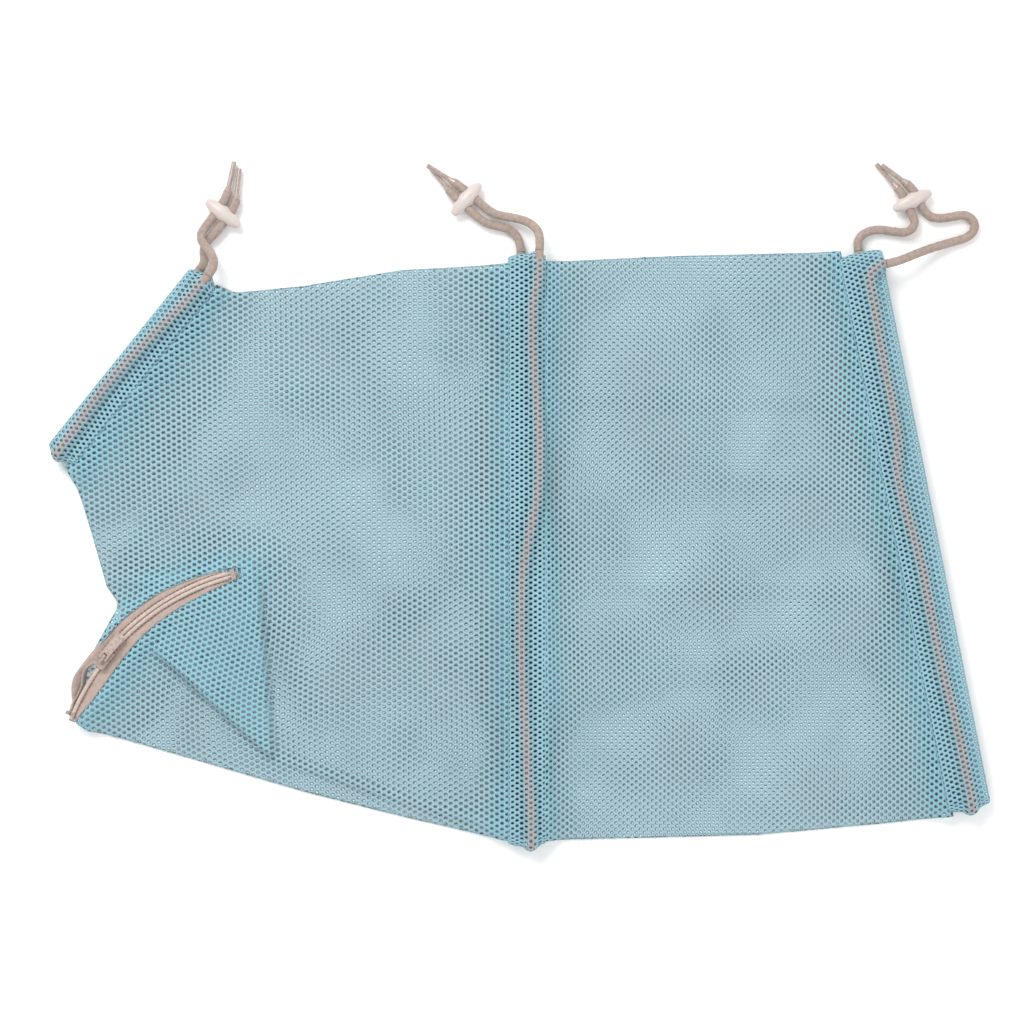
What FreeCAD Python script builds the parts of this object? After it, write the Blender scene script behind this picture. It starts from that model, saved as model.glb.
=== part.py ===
import FreeCAD, Part
import math
import os
import Sketcher
from FreeCAD import Placement, Rotation, Vector

# A pet washing bag of mesh, lying flat. Looking down on it, +X runs from the neck to the rear, +Y
# to the back and +Z up. The origin is on the table under the middle of the cloth. Millimetres.

doc = FreeCAD.newDocument("mesh_bag")
sizes = doc.addObject("Spreadsheet::Sheet", "Sizes")

DIMENSIONS = {
    # Cloth and its heights: the bottom layer lies on the table, the top layer bellies above it.
    "cloth": 1.0,
    "top_layer_under": 12.2,
    "edge_radius": 6.6,
    "zip_edge_radius": 5.8,
    # Casings: flat tunnels of cloth, one in each layer, joined by a turn at each end.
    "casing_height": 7.2,
    "casing_wall": 0.7,
    "casing_middle": 9.7,
    "neck_start_x": -280.5,
    "neck_start_y": 56.6,
    "neck_angle": 51.25,
    "neck_length": 144.0,
    "neck_width": 20.0,
    "waist_start_x": -5.6,
    "waist_start_y": -180.0,
    "waist_angle": 90.0,
    "waist_length": 357.0,
    "waist_width": 22.4,
    "rear_start_x": 255.0,
    "rear_start_y": -161.0,
    "rear_angle": 101.2,
    "rear_length": 342.5,
    "rear_width": 26.0,
    # Drawcord, its tips and the oval cord locks.
    "cord_diameter": 5.3,
    "cord_low": 3.7,
    "cord_high": 15.7,
    "outlet_diameter": 5.8,
    "side_outlet_along": 329.5,
    "tip_taper": 4.0,
    "tip_length": 15.0,
    "tip_diameter": 2.9,
    "bead_length": 24.6,
    "bead_diameter": 9.8,
    "bead_end": 1.7,
    "bead_end_rounding": 1.1,
    "bead_bore": 5.9,
    "bead_spacing": 7.2,
    "bead_height": 5.0,
    # Zip: everything lies on one arc about its centre.
    "zip_centre_x": -133.7,
    "zip_centre_y": -152.2,
    "zip_radius": 140.9,
    "zip_end": 102.4,
    "coil_end": 104.8,
    "slider_at": 141.7,
    "mouth_start": 144.5,
    "mouth_middle": 150.5,
    "zip_corner": 158.2,
    "slot_half": 6.9,
    "tape_half": 9.0,
    "tape_under": 11.6,
    "tape_thickness": 0.6,
    "chain_gap": 0.6,
    "coil_width": 2.3,
    "coil_height": 2.2,
    "mouth_bulge": 6.9,
    "stop_length": 3.0,
    "stop_width": 6.4,
    "stop_height": 2.8,
    # Slider and pull tab.
    "slider_length": 12.0,
    "slider_width": 8.4,
    "slider_plate": 0.9,
    "slider_floor": 10.4,
    "slider_roof": 14.8,
    "flange_width": 0.8,
    "flange_under": 12.6,
    "divider": 0.34,
    "bail_half_length": 2.65,
    "bail_width": 2.0,
    "bail_post": 0.9,
    "bail_top": 18.6,
    "bail_beam": 0.7,
    "pull_axis": 16.9,
    "pull_bar": 0.7,
    "pull_length": 18.0,
    "pull_width": 5.2,
    "pull_slot": 2.6,
    "pull_slot_end": 3.4,
    "pull_thickness": 1.2,
}

# Corners of the sleeves, inside the rounded edges.
FRONT_CORNERS = {
    "front_neck_back": (-183.3, 145.3),
    "front_waist_back": (-5.6, 161.8),
    "front_waist_belly": (-5.6, -166.8),
    "front_belly": (-253.3, -101.9),
    "front_zip_belly": (-255.9, -101.1),
    "front_zip_bend": (-257.5, -79.2),
    "front_notch": (-233.7, -33.2),
    "front_chest": (-258.6, 43.0),
    "front_neck_belly": (-259.0, 51.2),
}
REAR_CORNERS = {
    "rear_waist_back": (16.8, 162.0),
    "rear_casing_back": (189.9, 167.0),
    "rear_casing_belly": (254.0, -156.5),
    "rear_waist_belly": (16.8, -168.4),
}


def fill_sheet():
    """Write every driving size as a plain number with a word for its alias."""
    rows = dict(DIMENSIONS)
    for corners in (FRONT_CORNERS, REAR_CORNERS):
        for name, (across, up) in corners.items():
            rows[name + "_x"] = across
            rows[name + "_y"] = up
    for row, (name, value) in enumerate(rows.items(), start=1):
        sizes.set(f"A{row}", name)
        sizes.set(f"B{row}", str(value))
        sizes.setAlias(f"B{row}", name)
    doc.recompute()


def size(name):
    """Read one driving size back from the sheet."""
    return float(sizes.get(name))


def bind(thing, path, expression):
    """Tie one property of a thing to the sheet; words of the sheet stand after a dollar sign."""
    thing.setExpression(path, expression.replace("$", "Sizes."))


fill_sheet()
nodes = {}


def keep(name, thing):
    """Give a finished sub-part its name."""
    thing.Label = name
    nodes[name] = thing
    return thing


# --- Ways of making cloth and zip pieces ---------------------------------------------------------


def plane(body, role):
    """One of a body's own origin planes."""
    return next(f for f in body.Origin.OriginFeatures if f.Role == role)


def sketch_on(body, role, name):
    sketch = body.newObject("Sketcher::SketchObject", name)
    sketch.AttachmentSupport = (plane(body, role), [""])
    sketch.MapMode = "FlatFace"
    return sketch


def value_of(sketch, expression):
    """The number that a sheet expression gives now."""
    return float(sketch.evalExpression(expression.replace("$", "Sizes.")))


def fix_point(sketch, line, end, across, up):
    """Hold one point of a sketch at two distances from the sketch's origin."""
    for kind, expression in (("DistanceX", across), ("DistanceY", up)):
        now = value_of(sketch, expression)
        index = sketch.addConstraint(Sketcher.Constraint(kind, -1, 1, line, end, now))
        sketch.setExpression(f"Constraints[{index}]", expression.replace("$", "Sizes."))


def loop_of_lines(sketch, points):
    """Draw a closed outline through points given as pairs of sheet expressions."""
    first = sketch.GeometryCount
    count = len(points)
    corners = [Vector(value_of(sketch, across), value_of(sketch, up), 0) for across, up in points]
    for start, end in zip(corners, corners[1:] + corners[:1]):
        sketch.addGeometry(Part.LineSegment(start, end), False)
    for index in range(count):
        following = first + (index + 1) % count
        sketch.addConstraint(Sketcher.Constraint("Coincident", first + index, 2, following, 1))
    for index, (across, up) in enumerate(points):
        fix_point(sketch, first + index, 1, across, up)


def rectangle(left, right, low, high):
    return [(left, low), (right, low), (right, high), (left, high)]


def slab(name, corners, under):
    """A flat layer of mesh cloth with the outline of its sleeve."""
    body = doc.addObject("PartDesign::Body", name)
    sketch = sketch_on(body, "XY_Plane", name + "_outline")
    bind(sketch, "AttachmentOffset.Base.z", under)
    loop_of_lines(sketch, [(f"${corner}_x", f"${corner}_y") for corner in corners])
    pad = body.newObject("PartDesign::Pad", name + "_cloth")
    pad.Profile = sketch
    bind(pad, "Length", "$cloth")
    return body


def tunnel_profile(body, width, under, name):
    """The flat tube that a casing is, seen from its end."""
    sketch = sketch_on(body, "YZ_Plane", name)
    top = f"{under} + $casing_height"
    loop_of_lines(sketch, rectangle(f"-{width}", "0", under, top))
    inner = rectangle(f"-{width} + $casing_wall", "-$casing_wall",
                      f"{under} + $casing_wall", f"{top} - $casing_wall")
    loop_of_lines(sketch, inner)
    return sketch


def casing_place(casing, along):
    """Where a casing's frame stands: X along the casing towards the back, Y to its left."""
    turn = Rotation(Vector(0, 0, 1), size(casing + "_angle"))
    start = Vector(size(casing + "_start_x"), size(casing + "_start_y"), 0)
    return Placement(start + turn.multVec(Vector(along, 0, 0)), turn)


def casing_layer(name, casing, under):
    """One straight tunnel of a casing."""
    body = doc.addObject("PartDesign::Body", name)
    sketch = tunnel_profile(body, f"${casing}_width", under, name + "_profile")
    pad = body.newObject("PartDesign::Pad", name + "_tunnel")
    pad.Profile = sketch
    bind(pad, "Length", f"${casing}_length - 2 * $casing_middle")
    body.Placement = casing_place(casing, size("casing_middle"))
    return body


def casing_turn(name, casing, at_back):
    """The half turn of tunnel that joins a casing's two layers at one end."""
    body = doc.addObject("PartDesign::Body", name)
    sketch = tunnel_profile(body, f"${casing}_width", "$top_layer_under", name + "_profile")
    axis = sketch.addGeometry(Part.LineSegment(Vector(0, 0, 0), Vector(1, 0, 0)), True)
    fix_point(sketch, axis, 1, "0", "$casing_middle")
    fix_point(sketch, axis, 2, "10", "$casing_middle")
    turn = body.newObject("PartDesign::Revolution", name + "_turn")
    turn.Profile = sketch
    turn.ReferenceAxis = (sketch, ["Axis0"])
    turn.Angle = 180
    turn.Reversed = not at_back
    along = size(casing + "_length") - size("casing_middle") if at_back else size("casing_middle")
    body.Placement = casing_place(casing, along)
    return body


def rod(name, radius, length, foot, direction):
    """A round rod that stands on a point; radius and length are sheet expressions."""
    cylinder = doc.addObject("Part::Cylinder", name)
    bind(cylinder, "Radius", radius)
    bind(cylinder, "Height", length)
    cylinder.Placement = Placement(foot, Rotation(Vector(0, 0, 1), direction))
    return cylinder


def cut(name, base, tool):
    result = doc.addObject("Part::Cut", name)
    result.Base = base
    result.Tool = tool
    return result


def fuse(name, pieces):
    result = doc.addObject("Part::MultiFuse", name)
    result.Shapes = pieces
    return result


def edge(name, start, end, radius, open_top=False):
    """A rounded edge of a sleeve, where its cloth turns from the bottom layer to the top one.

    The edge runs from start to end with the outside of the bag on its left. With an open top its
    cloth turns only halfway and stands up to the zip.
    """
    run = Vector(*end, 0) - Vector(*start, 0)
    outward = Vector(-run.y, run.x, 0).normalize()
    inset = Vector(*start, size(radius)) - outward * size(radius)
    turn = Rotation(Vector(0, 0, -1), outward, run, "ZXY")
    pipes = []
    for part, reach in (("outside", f"${radius}"), ("inside", f"${radius} - $cloth")):
        pipe = doc.addObject("Part::Cylinder", f"{name}_{part}")
        bind(pipe, "Radius", reach)
        pipe.Height = run.Length
        pipe.Angle = 90 if open_top else 180
        pipe.Placement = Placement(inset, turn)
        pipes.append(pipe)
    rounded = cut(name, *pipes)
    if not open_top:
        return keep(name, rounded)
    wall = doc.addObject("Part::Box", name + "_wall")
    wall.Length = run.Length
    bind(wall, "Width", "$cloth")
    bind(wall, "Height", f"${radius}")
    foot = Vector(*start, size(radius)) - outward * size("cloth")
    wall.Placement = Placement(foot, Rotation(run, outward, Vector(0, 0, 1), "ZXY"))
    return keep(name, fuse(name, [rounded, wall]))


def ring_sector(name, inner, outer, start, end, under, height):
    """A flat piece of a ring about the zip's centre; every size is a sheet expression."""
    rings = []
    for part, radius in (("outside", outer), ("inside", inner)):
        ring = doc.addObject("Part::Cylinder", f"{name}_{part}")
        bind(ring, "Radius", radius)
        bind(ring, "Height", height)
        bind(ring, "Angle", f"{end} - {start}")
        bind(ring, "Placement.Base.x", "$zip_centre_x")
        bind(ring, "Placement.Base.y", "$zip_centre_y")
        bind(ring, "Placement.Base.z", under)
        bind(ring, "Placement.Rotation.Angle", start)
        rings.append(ring)
    return cut(name, *rings)


def on_zip(radius, angle, height=0.0):
    """A point by its distance from the zip's centre and its angle about it."""
    turn = math.radians(angle)
    across = size("zip_centre_x") + radius * math.cos(turn)
    up = size("zip_centre_y") + radius * math.sin(turn)
    return Vector(across, up, height)


def crescent(name, near, far, angles, under, height):
    """A flat crescent between two arcs, each through three radii at the given angles."""
    near_points = [on_zip(radius, angle, under) for radius, angle in zip(near, angles)]
    far_points = [on_zip(radius, angle, under) for radius, angle in zip(far, angles)]
    outline = Part.Wire([
        Part.Arc(*near_points).toShape(),
        Part.LineSegment(near_points[-1], far_points[-1]).toShape(),
        Part.Arc(*reversed(far_points)).toShape(),
        Part.LineSegment(far_points[0], near_points[0]).toShape(),
    ])
    piece = doc.addObject("Part::Feature", name)
    piece.Shape = Part.Face(outline).extrude(Vector(0, 0, height))
    return piece


# --- Front sleeve: bottom layer, top layer with the zip's slot, rounded edges ---------------------

keep("front_bottom_layer", slab("front_bottom_layer", FRONT_CORNERS, "0"))
whole_front = slab("front_cloth", FRONT_CORNERS, "$top_layer_under")
zip_slot = ring_sector("zip_slot", "$zip_radius - $slot_half", "$zip_radius + $slot_half",
                       "$zip_end", "$zip_corner + 5", "$top_layer_under - 1", "$cloth + 2")
keep("front_top_layer", cut("front_top_layer", whole_front, zip_slot))
edge("front_back_edge", (-177.0, 152.6), (-6.3, 168.5), "edge_radius")
edge("front_chest_edge", (-241.0, -32.5), (-264.8, 40.5), "edge_radius")
edge("front_zip_edge_upper", (-262.6, -75.8), (-241.0, -34.5), "zip_edge_radius", True)
edge("front_zip_edge_lower", (-262.0, -100.0), (-263.9, -79.5), "zip_edge_radius", True)
edge("front_belly_edge", (-7.3, -173.2), (-254.5, -108.8), "edge_radius")

# --- Rear sleeve -----------------------------------------------------------------------------------

keep("rear_bottom_layer", slab("rear_bottom_layer", REAR_CORNERS, "0"))
keep("rear_top_layer", slab("rear_top_layer", REAR_CORNERS, "$top_layer_under"))
edge("rear_back_edge", (17.1, 168.8), (187.8, 173.8), "edge_radius")
edge("rear_belly_edge", (251.8, -163.4), (17.1, -175.0), "edge_radius")

# --- Casings, with the outlets that the drawcords leave by ----------------------------------------

OUTLETS = {
    # casing: height of the run and distance from the casing's left edge, for each end outlet
    "neck": (("cord_low", 3.6), ("cord_high", 11.5)),
    "waist": (("cord_low", 7.6), ("cord_high", 18.6)),
    "rear": (("cord_low", 14.0),),
}

for casing in ("neck", "waist", "rear"):
    keep(f"{casing}_casing_bottom", casing_layer(f"{casing}_casing_bottom", casing, "0"))
    top = casing_layer(f"{casing}_casing_top", casing, "$top_layer_under")
    back = casing_turn(f"{casing}_casing_back_turn", casing, True)
    keep(f"{casing}_casing_belly_turn", casing_turn(f"{casing}_casing_belly_turn", casing, False))
    frame = casing_place(casing, size(casing + "_length") - size("casing_middle"))
    for height, across in OUTLETS[casing]:
        foot = frame.multVec(Vector(0, -across, size(height)))
        direction = frame.Rotation.multVec(Vector(1, 0, 0))
        drill = rod(f"{casing}_{height}_drill", "$outlet_diameter / 2", "$casing_height * 2",
                    foot, direction)
        back = cut(f"{casing}_back_{height}", back, drill)
    if casing == "rear":
        frame = casing_place(casing, size("side_outlet_along"))
        foot = frame.multVec(Vector(0, -size("rear_width") / 2, size("cord_high")))
        direction = frame.Rotation.multVec(Vector(0, -1, 0))
        drill = rod("rear_side_drill", "$outlet_diameter / 2", "$rear_width", foot, direction)
        top = cut("rear_top_drilled", top, drill)
    keep(f"{casing}_casing_back_turn", back)
    keep(f"{casing}_casing_top", top)

# --- Zip: two tapes, two coils, stops -------------------------------------------------------------

zip_radius = size("zip_radius")
chain_gap = size("chain_gap")
near_radius = zip_radius + chain_gap
mouth_radius = near_radius + size("mouth_bulge") - chain_gap
mouth_angles = (size("mouth_start"), size("mouth_middle"), size("zip_corner"))

keep("zip_tape_inner", ring_sector(
    "zip_tape_inner", "$zip_radius - $tape_half", "$zip_radius - $chain_gap",
    "$zip_end", "$zip_corner", "$tape_under", "$tape_thickness"))
outer_band = ring_sector(
    "outer_tape_band", "$zip_radius + $chain_gap", "$zip_radius + $tape_half",
    "$zip_end", "$mouth_start", "$tape_under", "$tape_thickness")
outer_lip = crescent(
    "outer_tape_lip", (near_radius, mouth_radius, near_radius),
    (zip_radius + size("tape_half"), mouth_radius + 5.4, near_radius + 1.5),
    mouth_angles, size("tape_under"), size("tape_thickness"))
keep("zip_tape_outer", fuse("zip_tape_outer", [outer_band, outer_lip]))

coil_under = "$tape_under + $tape_thickness"
keep("zip_coil_inner", ring_sector(
    "zip_coil_inner", "$zip_radius - $chain_gap - $coil_width", "$zip_radius - $chain_gap",
    "$coil_end", "$zip_corner - 1.7", coil_under, "$coil_height"))
outer_coil = ring_sector(
    "outer_coil_band", "$zip_radius + $chain_gap", "$zip_radius + $chain_gap + $coil_width",
    "$coil_end", "$mouth_start", coil_under, "$coil_height")
coil_angles = (mouth_angles[0], mouth_angles[1], mouth_angles[2] - 1.7)
open_coil = crescent(
    "outer_coil_lip", (near_radius, mouth_radius, near_radius + 0.7),
    [radius + size("coil_width") for radius in (near_radius, mouth_radius, near_radius + 0.7)],
    coil_angles, size("tape_under") + size("tape_thickness"), size("coil_height"))
keep("zip_coil_outer", fuse("zip_coil_outer", [outer_coil, open_coil]))


def stop(name, radius, angle, length, width, height):
    """A pressed metal stop that straddles or ends a row of the chain."""
    box = doc.addObject("Part::Box", name)
    bind(box, "Length", length)
    bind(box, "Width", width)
    bind(box, "Height", height)
    turn = Rotation(Vector(0, 0, 1), angle - 90)
    corner = turn.multVec(Vector(-float(box.Length) / 2, -float(box.Width) / 2, 0))
    doc.recompute()
    corner = turn.multVec(Vector(-float(box.Length) / 2, -float(box.Width) / 2, 0))
    under = size("tape_under") + size("tape_thickness")
    box.Placement = Placement(on_zip(radius, angle, under) + corner, turn)
    return box


keep("zip_bottom_stop", stop("zip_bottom_stop", zip_radius, 104.0,
                             "$stop_length - 0.4", "$stop_width", "$stop_height"))
row_middle = chain_gap + size("coil_width") / 2
top_stops = [
    stop(f"top_stop_{side}", zip_radius + offset, 157.3, "$stop_length * 0.6",
         "$coil_width - 0.2", "$coil_height + 0.3")
    for side, offset in (("inner", -row_middle), ("outer", row_middle))
]
top_stop_pair = doc.addObject("Part::Compound", "top_stop_pair")
top_stop_pair.Links = top_stops
keep("zip_top_stops", top_stop_pair)

# --- Zip slider and pull tab ----------------------------------------------------------------------

slider_turn = Rotation(Vector(0, 0, 1), size("slider_at") - 90)
slider_place = Placement(on_zip(zip_radius, size("slider_at")), slider_turn)


def slider_body():
    """Top plate with turned-down sides, floor plate and divider as one section, and the bail."""
    body = doc.addObject("PartDesign::Body", "slider_body")
    sketch = sketch_on(body, "YZ_Plane", "slider_section")
    half = "$slider_width / 2"
    inside = f"{half} - $flange_width"
    web = "$divider / 2"
    floor_top = "$slider_floor + $slider_plate"
    roof_top = "$slider_roof + $slider_plate"
    right = [(half, roof_top), (half, "$flange_under"), (inside, "$flange_under"),
             (inside, "$slider_roof"), (web, "$slider_roof"), (web, floor_top),
             (half, floor_top), (half, "$slider_floor")]
    left = [(f"-({across})", up) for across, up in reversed(right)]
    loop_of_lines(sketch, right + left)
    pad = body.newObject("PartDesign::Pad", "slider_length_pad")
    pad.Profile = sketch
    bind(pad, "Length", "$slider_length")
    bind(sketch, "AttachmentOffset.Base.z", "-$slider_length / 2")
    rail = sketch_on(body, "XZ_Plane", "bail_side")
    reach = "$bail_half_length"
    gap = f"{reach} - $bail_post"
    loop_of_lines(rail, [
        (f"-({reach})", roof_top), (f"-({gap})", roof_top), (f"-({gap})", "$bail_top - $bail_beam"),
        (gap, "$bail_top - $bail_beam"), (gap, roof_top), (reach, roof_top),
        (reach, "$bail_top"), (f"-({reach})", "$bail_top")])
    bind(rail, "AttachmentOffset.Base.z", "-$bail_width / 2")
    bail = body.newObject("PartDesign::Pad", "bail")
    bail.Profile = rail
    bind(bail, "Length", "$bail_width")
    body.Placement = slider_place
    return body


def pull_tab():
    """A flat tab whose slotted end holds the cross bar that turns under the bail."""
    body = doc.addObject("PartDesign::Body", "pull_plate")
    sketch = sketch_on(body, "XY_Plane", "pull_outline")
    half = "$pull_width / 2"
    back = "-$pull_bar"
    loop_of_lines(sketch, rectangle(back, "$pull_length", f"-{half}", half))
    loop_of_lines(sketch, rectangle(back + " + 0.1", "$pull_slot_end",
                                    "-$pull_slot / 2", "$pull_slot / 2"))
    bind(sketch, "AttachmentOffset.Base.z", "$pull_axis - $pull_thickness / 2")
    pad = body.newObject("PartDesign::Pad", "pull_pad")
    pad.Profile = sketch
    bind(pad, "Length", "$pull_thickness")
    body.Placement = slider_place
    foot = slider_place.multVec(Vector(0, -size("pull_width") / 2, size("pull_axis")))
    bar = rod("pull_bar_rod", "$pull_bar", "$pull_width", foot,
              slider_place.Rotation.multVec(Vector(0, 1, 0)))
    slot = doc.addObject("Part::Box", "pull_back_slot")
    bind(slot, "Length", "$pull_slot_end + $pull_bar")
    bind(slot, "Width", "$pull_slot")
    bind(slot, "Height", "$pull_thickness * 2")
    slot.Placement = slider_place.multiply(Placement(
        Vector(-size("pull_bar"), -size("pull_slot") / 2, size("pull_axis") - size("pull_thickness")),
        Rotation()))
    return fuse("pull_tab_fused", [cut("pull_open_end", body, slot), bar])


keep("zip_slider", slider_body())
keep("zip_pull_tab", pull_tab())

# --- Drawcords ------------------------------------------------------------------------------------

CORD_RADIUS = size("cord_diameter") / 2
LOW = size("cord_low")
HIGH = size("cord_high")
TURN = size("casing_middle") - (HIGH - LOW) / 2

# Each cord's loop inside its casing: distance along the casing, distance from its left edge,
# height. It comes in by one outlet along the bottom layer and goes back along the top layer.
CASING_LOOPS = {
    "neck": [
        (142.3, 3.6, LOW), (130, 3.6, LOW), (105, 7.0, LOW), (70, 9.5, LOW), (35, 8.4, LOW),
        (20, 7.5, LOW), (TURN, 7.5, LOW), (TURN, 7.5, HIGH), (22, 7.5, HIGH), (48, 5.0, HIGH),
        (80, 6.5, HIGH), (105, 9.5, HIGH), (128, 11.5, HIGH), (142.3, 11.5, HIGH)],
    "waist": [
        (355.3, 7.6, LOW), (343, 7.6, LOW), (322, 9.4, LOW), (286, 11.6, LOW), (230, 13.1, LOW),
        (170, 9.6, LOW), (108, 12.6, LOW), (54, 16.1, LOW), (22, 14.0, LOW),
        (TURN, 14.0, LOW), (TURN, 14.0, HIGH), (20, 14.0, HIGH), (42, 12.1, HIGH), (82, 9.6, HIGH),
        (124, 7.2, HIGH), (162, 7.8, HIGH), (186, 12.0, HIGH), (212, 18.2, HIGH),
        (248, 18.5, HIGH), (284, 15.4, HIGH), (320, 13.8, HIGH), (342, 18.6, HIGH),
        (355.3, 18.6, HIGH)],
    "rear": [
        (340.8, 14.0, LOW), (328, 14.0, LOW), (306, 15.0, LOW), (262, 13.5, LOW), (208, 11.0, LOW),
        (150, 14.0, LOW), (92, 16.0, LOW), (46, 15.6, LOW), (22, 14.4, LOW),
        (TURN, 14.4, LOW), (TURN, 14.4, HIGH), (22, 14.4, HIGH), (52, 14.8, HIGH), (86, 12.4, HIGH),
        (122, 11.9, HIGH), (155, 12.9, HIGH), (182, 9.6, HIGH), (206, 8.2, HIGH),
        (226, 13.4, HIGH), (250, 14.2, HIGH), (276, 13.0, HIGH), (304, 15.2, HIGH),
        (size("side_outlet_along"), 14.5, HIGH), (size("side_outlet_along"), 26.5, HIGH)],
}

# The free tails, from just outside their outlet to the tip that ends them. A left tail goes on from
# its loop's start and a right tail from its end.
TAILS = {
    "neck_cord_tail_left": [
        (-185.6, 169.1, 3.5), (-186.4, 174.6, 2.9), (-186.2, 178.9, 2.8),
        (-184.3, 182.4, 3.1), (-179.2, 186.6, 5.0), (-167.6, 201.6, 5.0), (-167.1, 206.4, 4.5)],
    "neck_cord_tail_right": [
        (-178.6, 165.1, 15.5), (-179.6, 172.3, 12.9), (-184.6, 178.3, 10.0),
        (-188.2, 184.0, 7.3), (-186.0, 189.5, 5.0), (-173.2, 206.0, 5.0), (-172.2, 210.8, 4.5)],
    "waist_cord_tail_left": [
        (1.6, 181.6, 3.3), (-1.4, 187.0, 2.8), (-6.8, 190.0, 2.8),
        (-13.4, 191.3, 3.4), (-20.3, 193.1, 5.0), (-37.7, 208.6, 5.0), (-40.5, 212.1, 4.3)],
    "waist_cord_tail_right": [
        (13.4, 181.5, 15.2), (12.2, 187.8, 12.4), (6.8, 192.8, 9.2),
        (-0.8, 195.4, 6.6), (-8.2, 196.6, 5.3), (-15.5, 198.5, 5.0), (-32.9, 214.0, 5.0),
        (-37.3, 216.7, 5.3)],
    "rear_cord_tail_left": [
        (201.4, 181.8, 3.3), (206.0, 187.2, 2.8), (213.9, 189.3, 2.8), (222.4, 188.0, 2.8),
        (230.3, 186.9, 3.3), (234.7, 189.3, 4.3), (236.0, 193.8, 5.0), (228.6, 210.0, 5.0),
        (225.6, 213.6, 4.4)],
    "rear_cord_tail_right": [
        (223.0, 168.6, 15.3), (231.0, 171.8, 12.4), (240.0, 175.6, 8.6), (249.2, 178.9, 5.2),
        (257.0, 181.2, 3.2), (262.4, 182.7, 2.7), (267.3, 184.3, 2.7), (271.2, 187.6, 2.7),
        (272.2, 192.5, 2.7), (269.4, 196.6, 2.7), (264.6, 198.0, 2.7), (258.2, 196.6, 2.8),
        (251.0, 195.4, 3.3), (242.6, 196.8, 5.0), (235.2, 213.0, 5.0), (231.4, 215.8, 5.1)],
}
# A run's share that an arc takes at each end.
ARC_SHARE = 0.45


def rounded_path(points):
    """Straight runs joined by tangent arcs, each as large as its two runs allow."""
    runs = [after - before for before, after in zip(points, points[1:])]
    edges, radii = [], []
    here = points[0]
    for corner, run_in, run_out in zip(points[1:-1], runs, runs[1:]):
        half_turn = run_in.getAngle(run_out) / 2
        tangent = ARC_SHARE * min(run_in.Length, run_out.Length)
        radius = tangent / math.tan(half_turn)
        into = Vector(run_in).normalize()
        out = Vector(run_out).normalize()
        start = corner - into * tangent
        end = corner + out * tangent
        sideways = (out - into).normalize()
        middle = corner + sideways * (radius / math.cos(half_turn) - radius)
        edges.append(Part.LineSegment(here, start).toShape())
        edges.append(Part.Arc(start, middle, end).toShape())
        radii.append(radius)
        here = end
    edges.append(Part.LineSegment(here, points[-1]).toShape())
    return Part.Wire(edges), radii


def cord(name, points):
    """A round tube of cord along its route."""
    path, radii = rounded_path(points)
    start = (points[1] - points[0]).normalize()
    section = Part.Wire(Part.makeCircle(CORD_RADIUS, points[0], start))
    tube = path.makePipeShell([section], True, False)
    expected = math.pi * CORD_RADIUS ** 2 * path.Length
    if abs(tube.Volume / expected - 1) > 0.01:
        raise RuntimeError(f"{name}: volume {tube.Volume:.0f}, section times length {expected:.0f}")
    thing = doc.addObject("Part::Feature", name)
    thing.Shape = tube
    print(f"{name}: length {path.Length:.1f}, radii", " ".join(f"{r:.1f}" for r in radii))
    return keep(name, thing)


def tip(name, tail):
    """The end of a tail: the cord drawn down to a slim hard sleeve."""
    end = Vector(*tail[-1])
    direction = (end - Vector(*tail[-2])).normalize()
    cone = doc.addObject("Part::Cone", name + "_taper")
    bind(cone, "Radius1", "$cord_diameter / 2")
    bind(cone, "Radius2", "$tip_diameter / 2")
    bind(cone, "Height", "$tip_taper")
    cone.Placement = Placement(end, Rotation(Vector(0, 0, 1), direction))
    sleeve = rod(name + "_sleeve", "$tip_diameter / 2", "$tip_length",
                 end + direction * size("tip_taper"), direction)
    return keep(name, fuse(name, [cone, sleeve]))


loop_ends = {}
for casing, loop in CASING_LOOPS.items():
    frame = casing_place(casing, 0)
    points = [frame.multVec(Vector(along, -across, height)) for along, across, height in loop]
    cord(f"{casing}_cord_in_casing", points)
    loop_ends[f"{casing}_cord_tail_left"] = points[0]
    loop_ends[f"{casing}_cord_tail_right"] = points[-1]
for name, tail in TAILS.items():
    cord(name, [loop_ends[name]] + [Vector(*point) for point in tail])
    tip(name.replace("tail", "tip"), tail)

# --- Cord locks: oval beads with two bores side by side -------------------------------------------

BEADS = {
    # the bead's middle, and the direction of its long axis in degrees from +X
    "neck_cord_lock": ((-174.7, 198.3), -37.8),
    "waist_cord_lock": ((-30.2, 206.8), 48.3),
    "rear_cord_lock": ((234.4, 206.0), 24.7),
}


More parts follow.
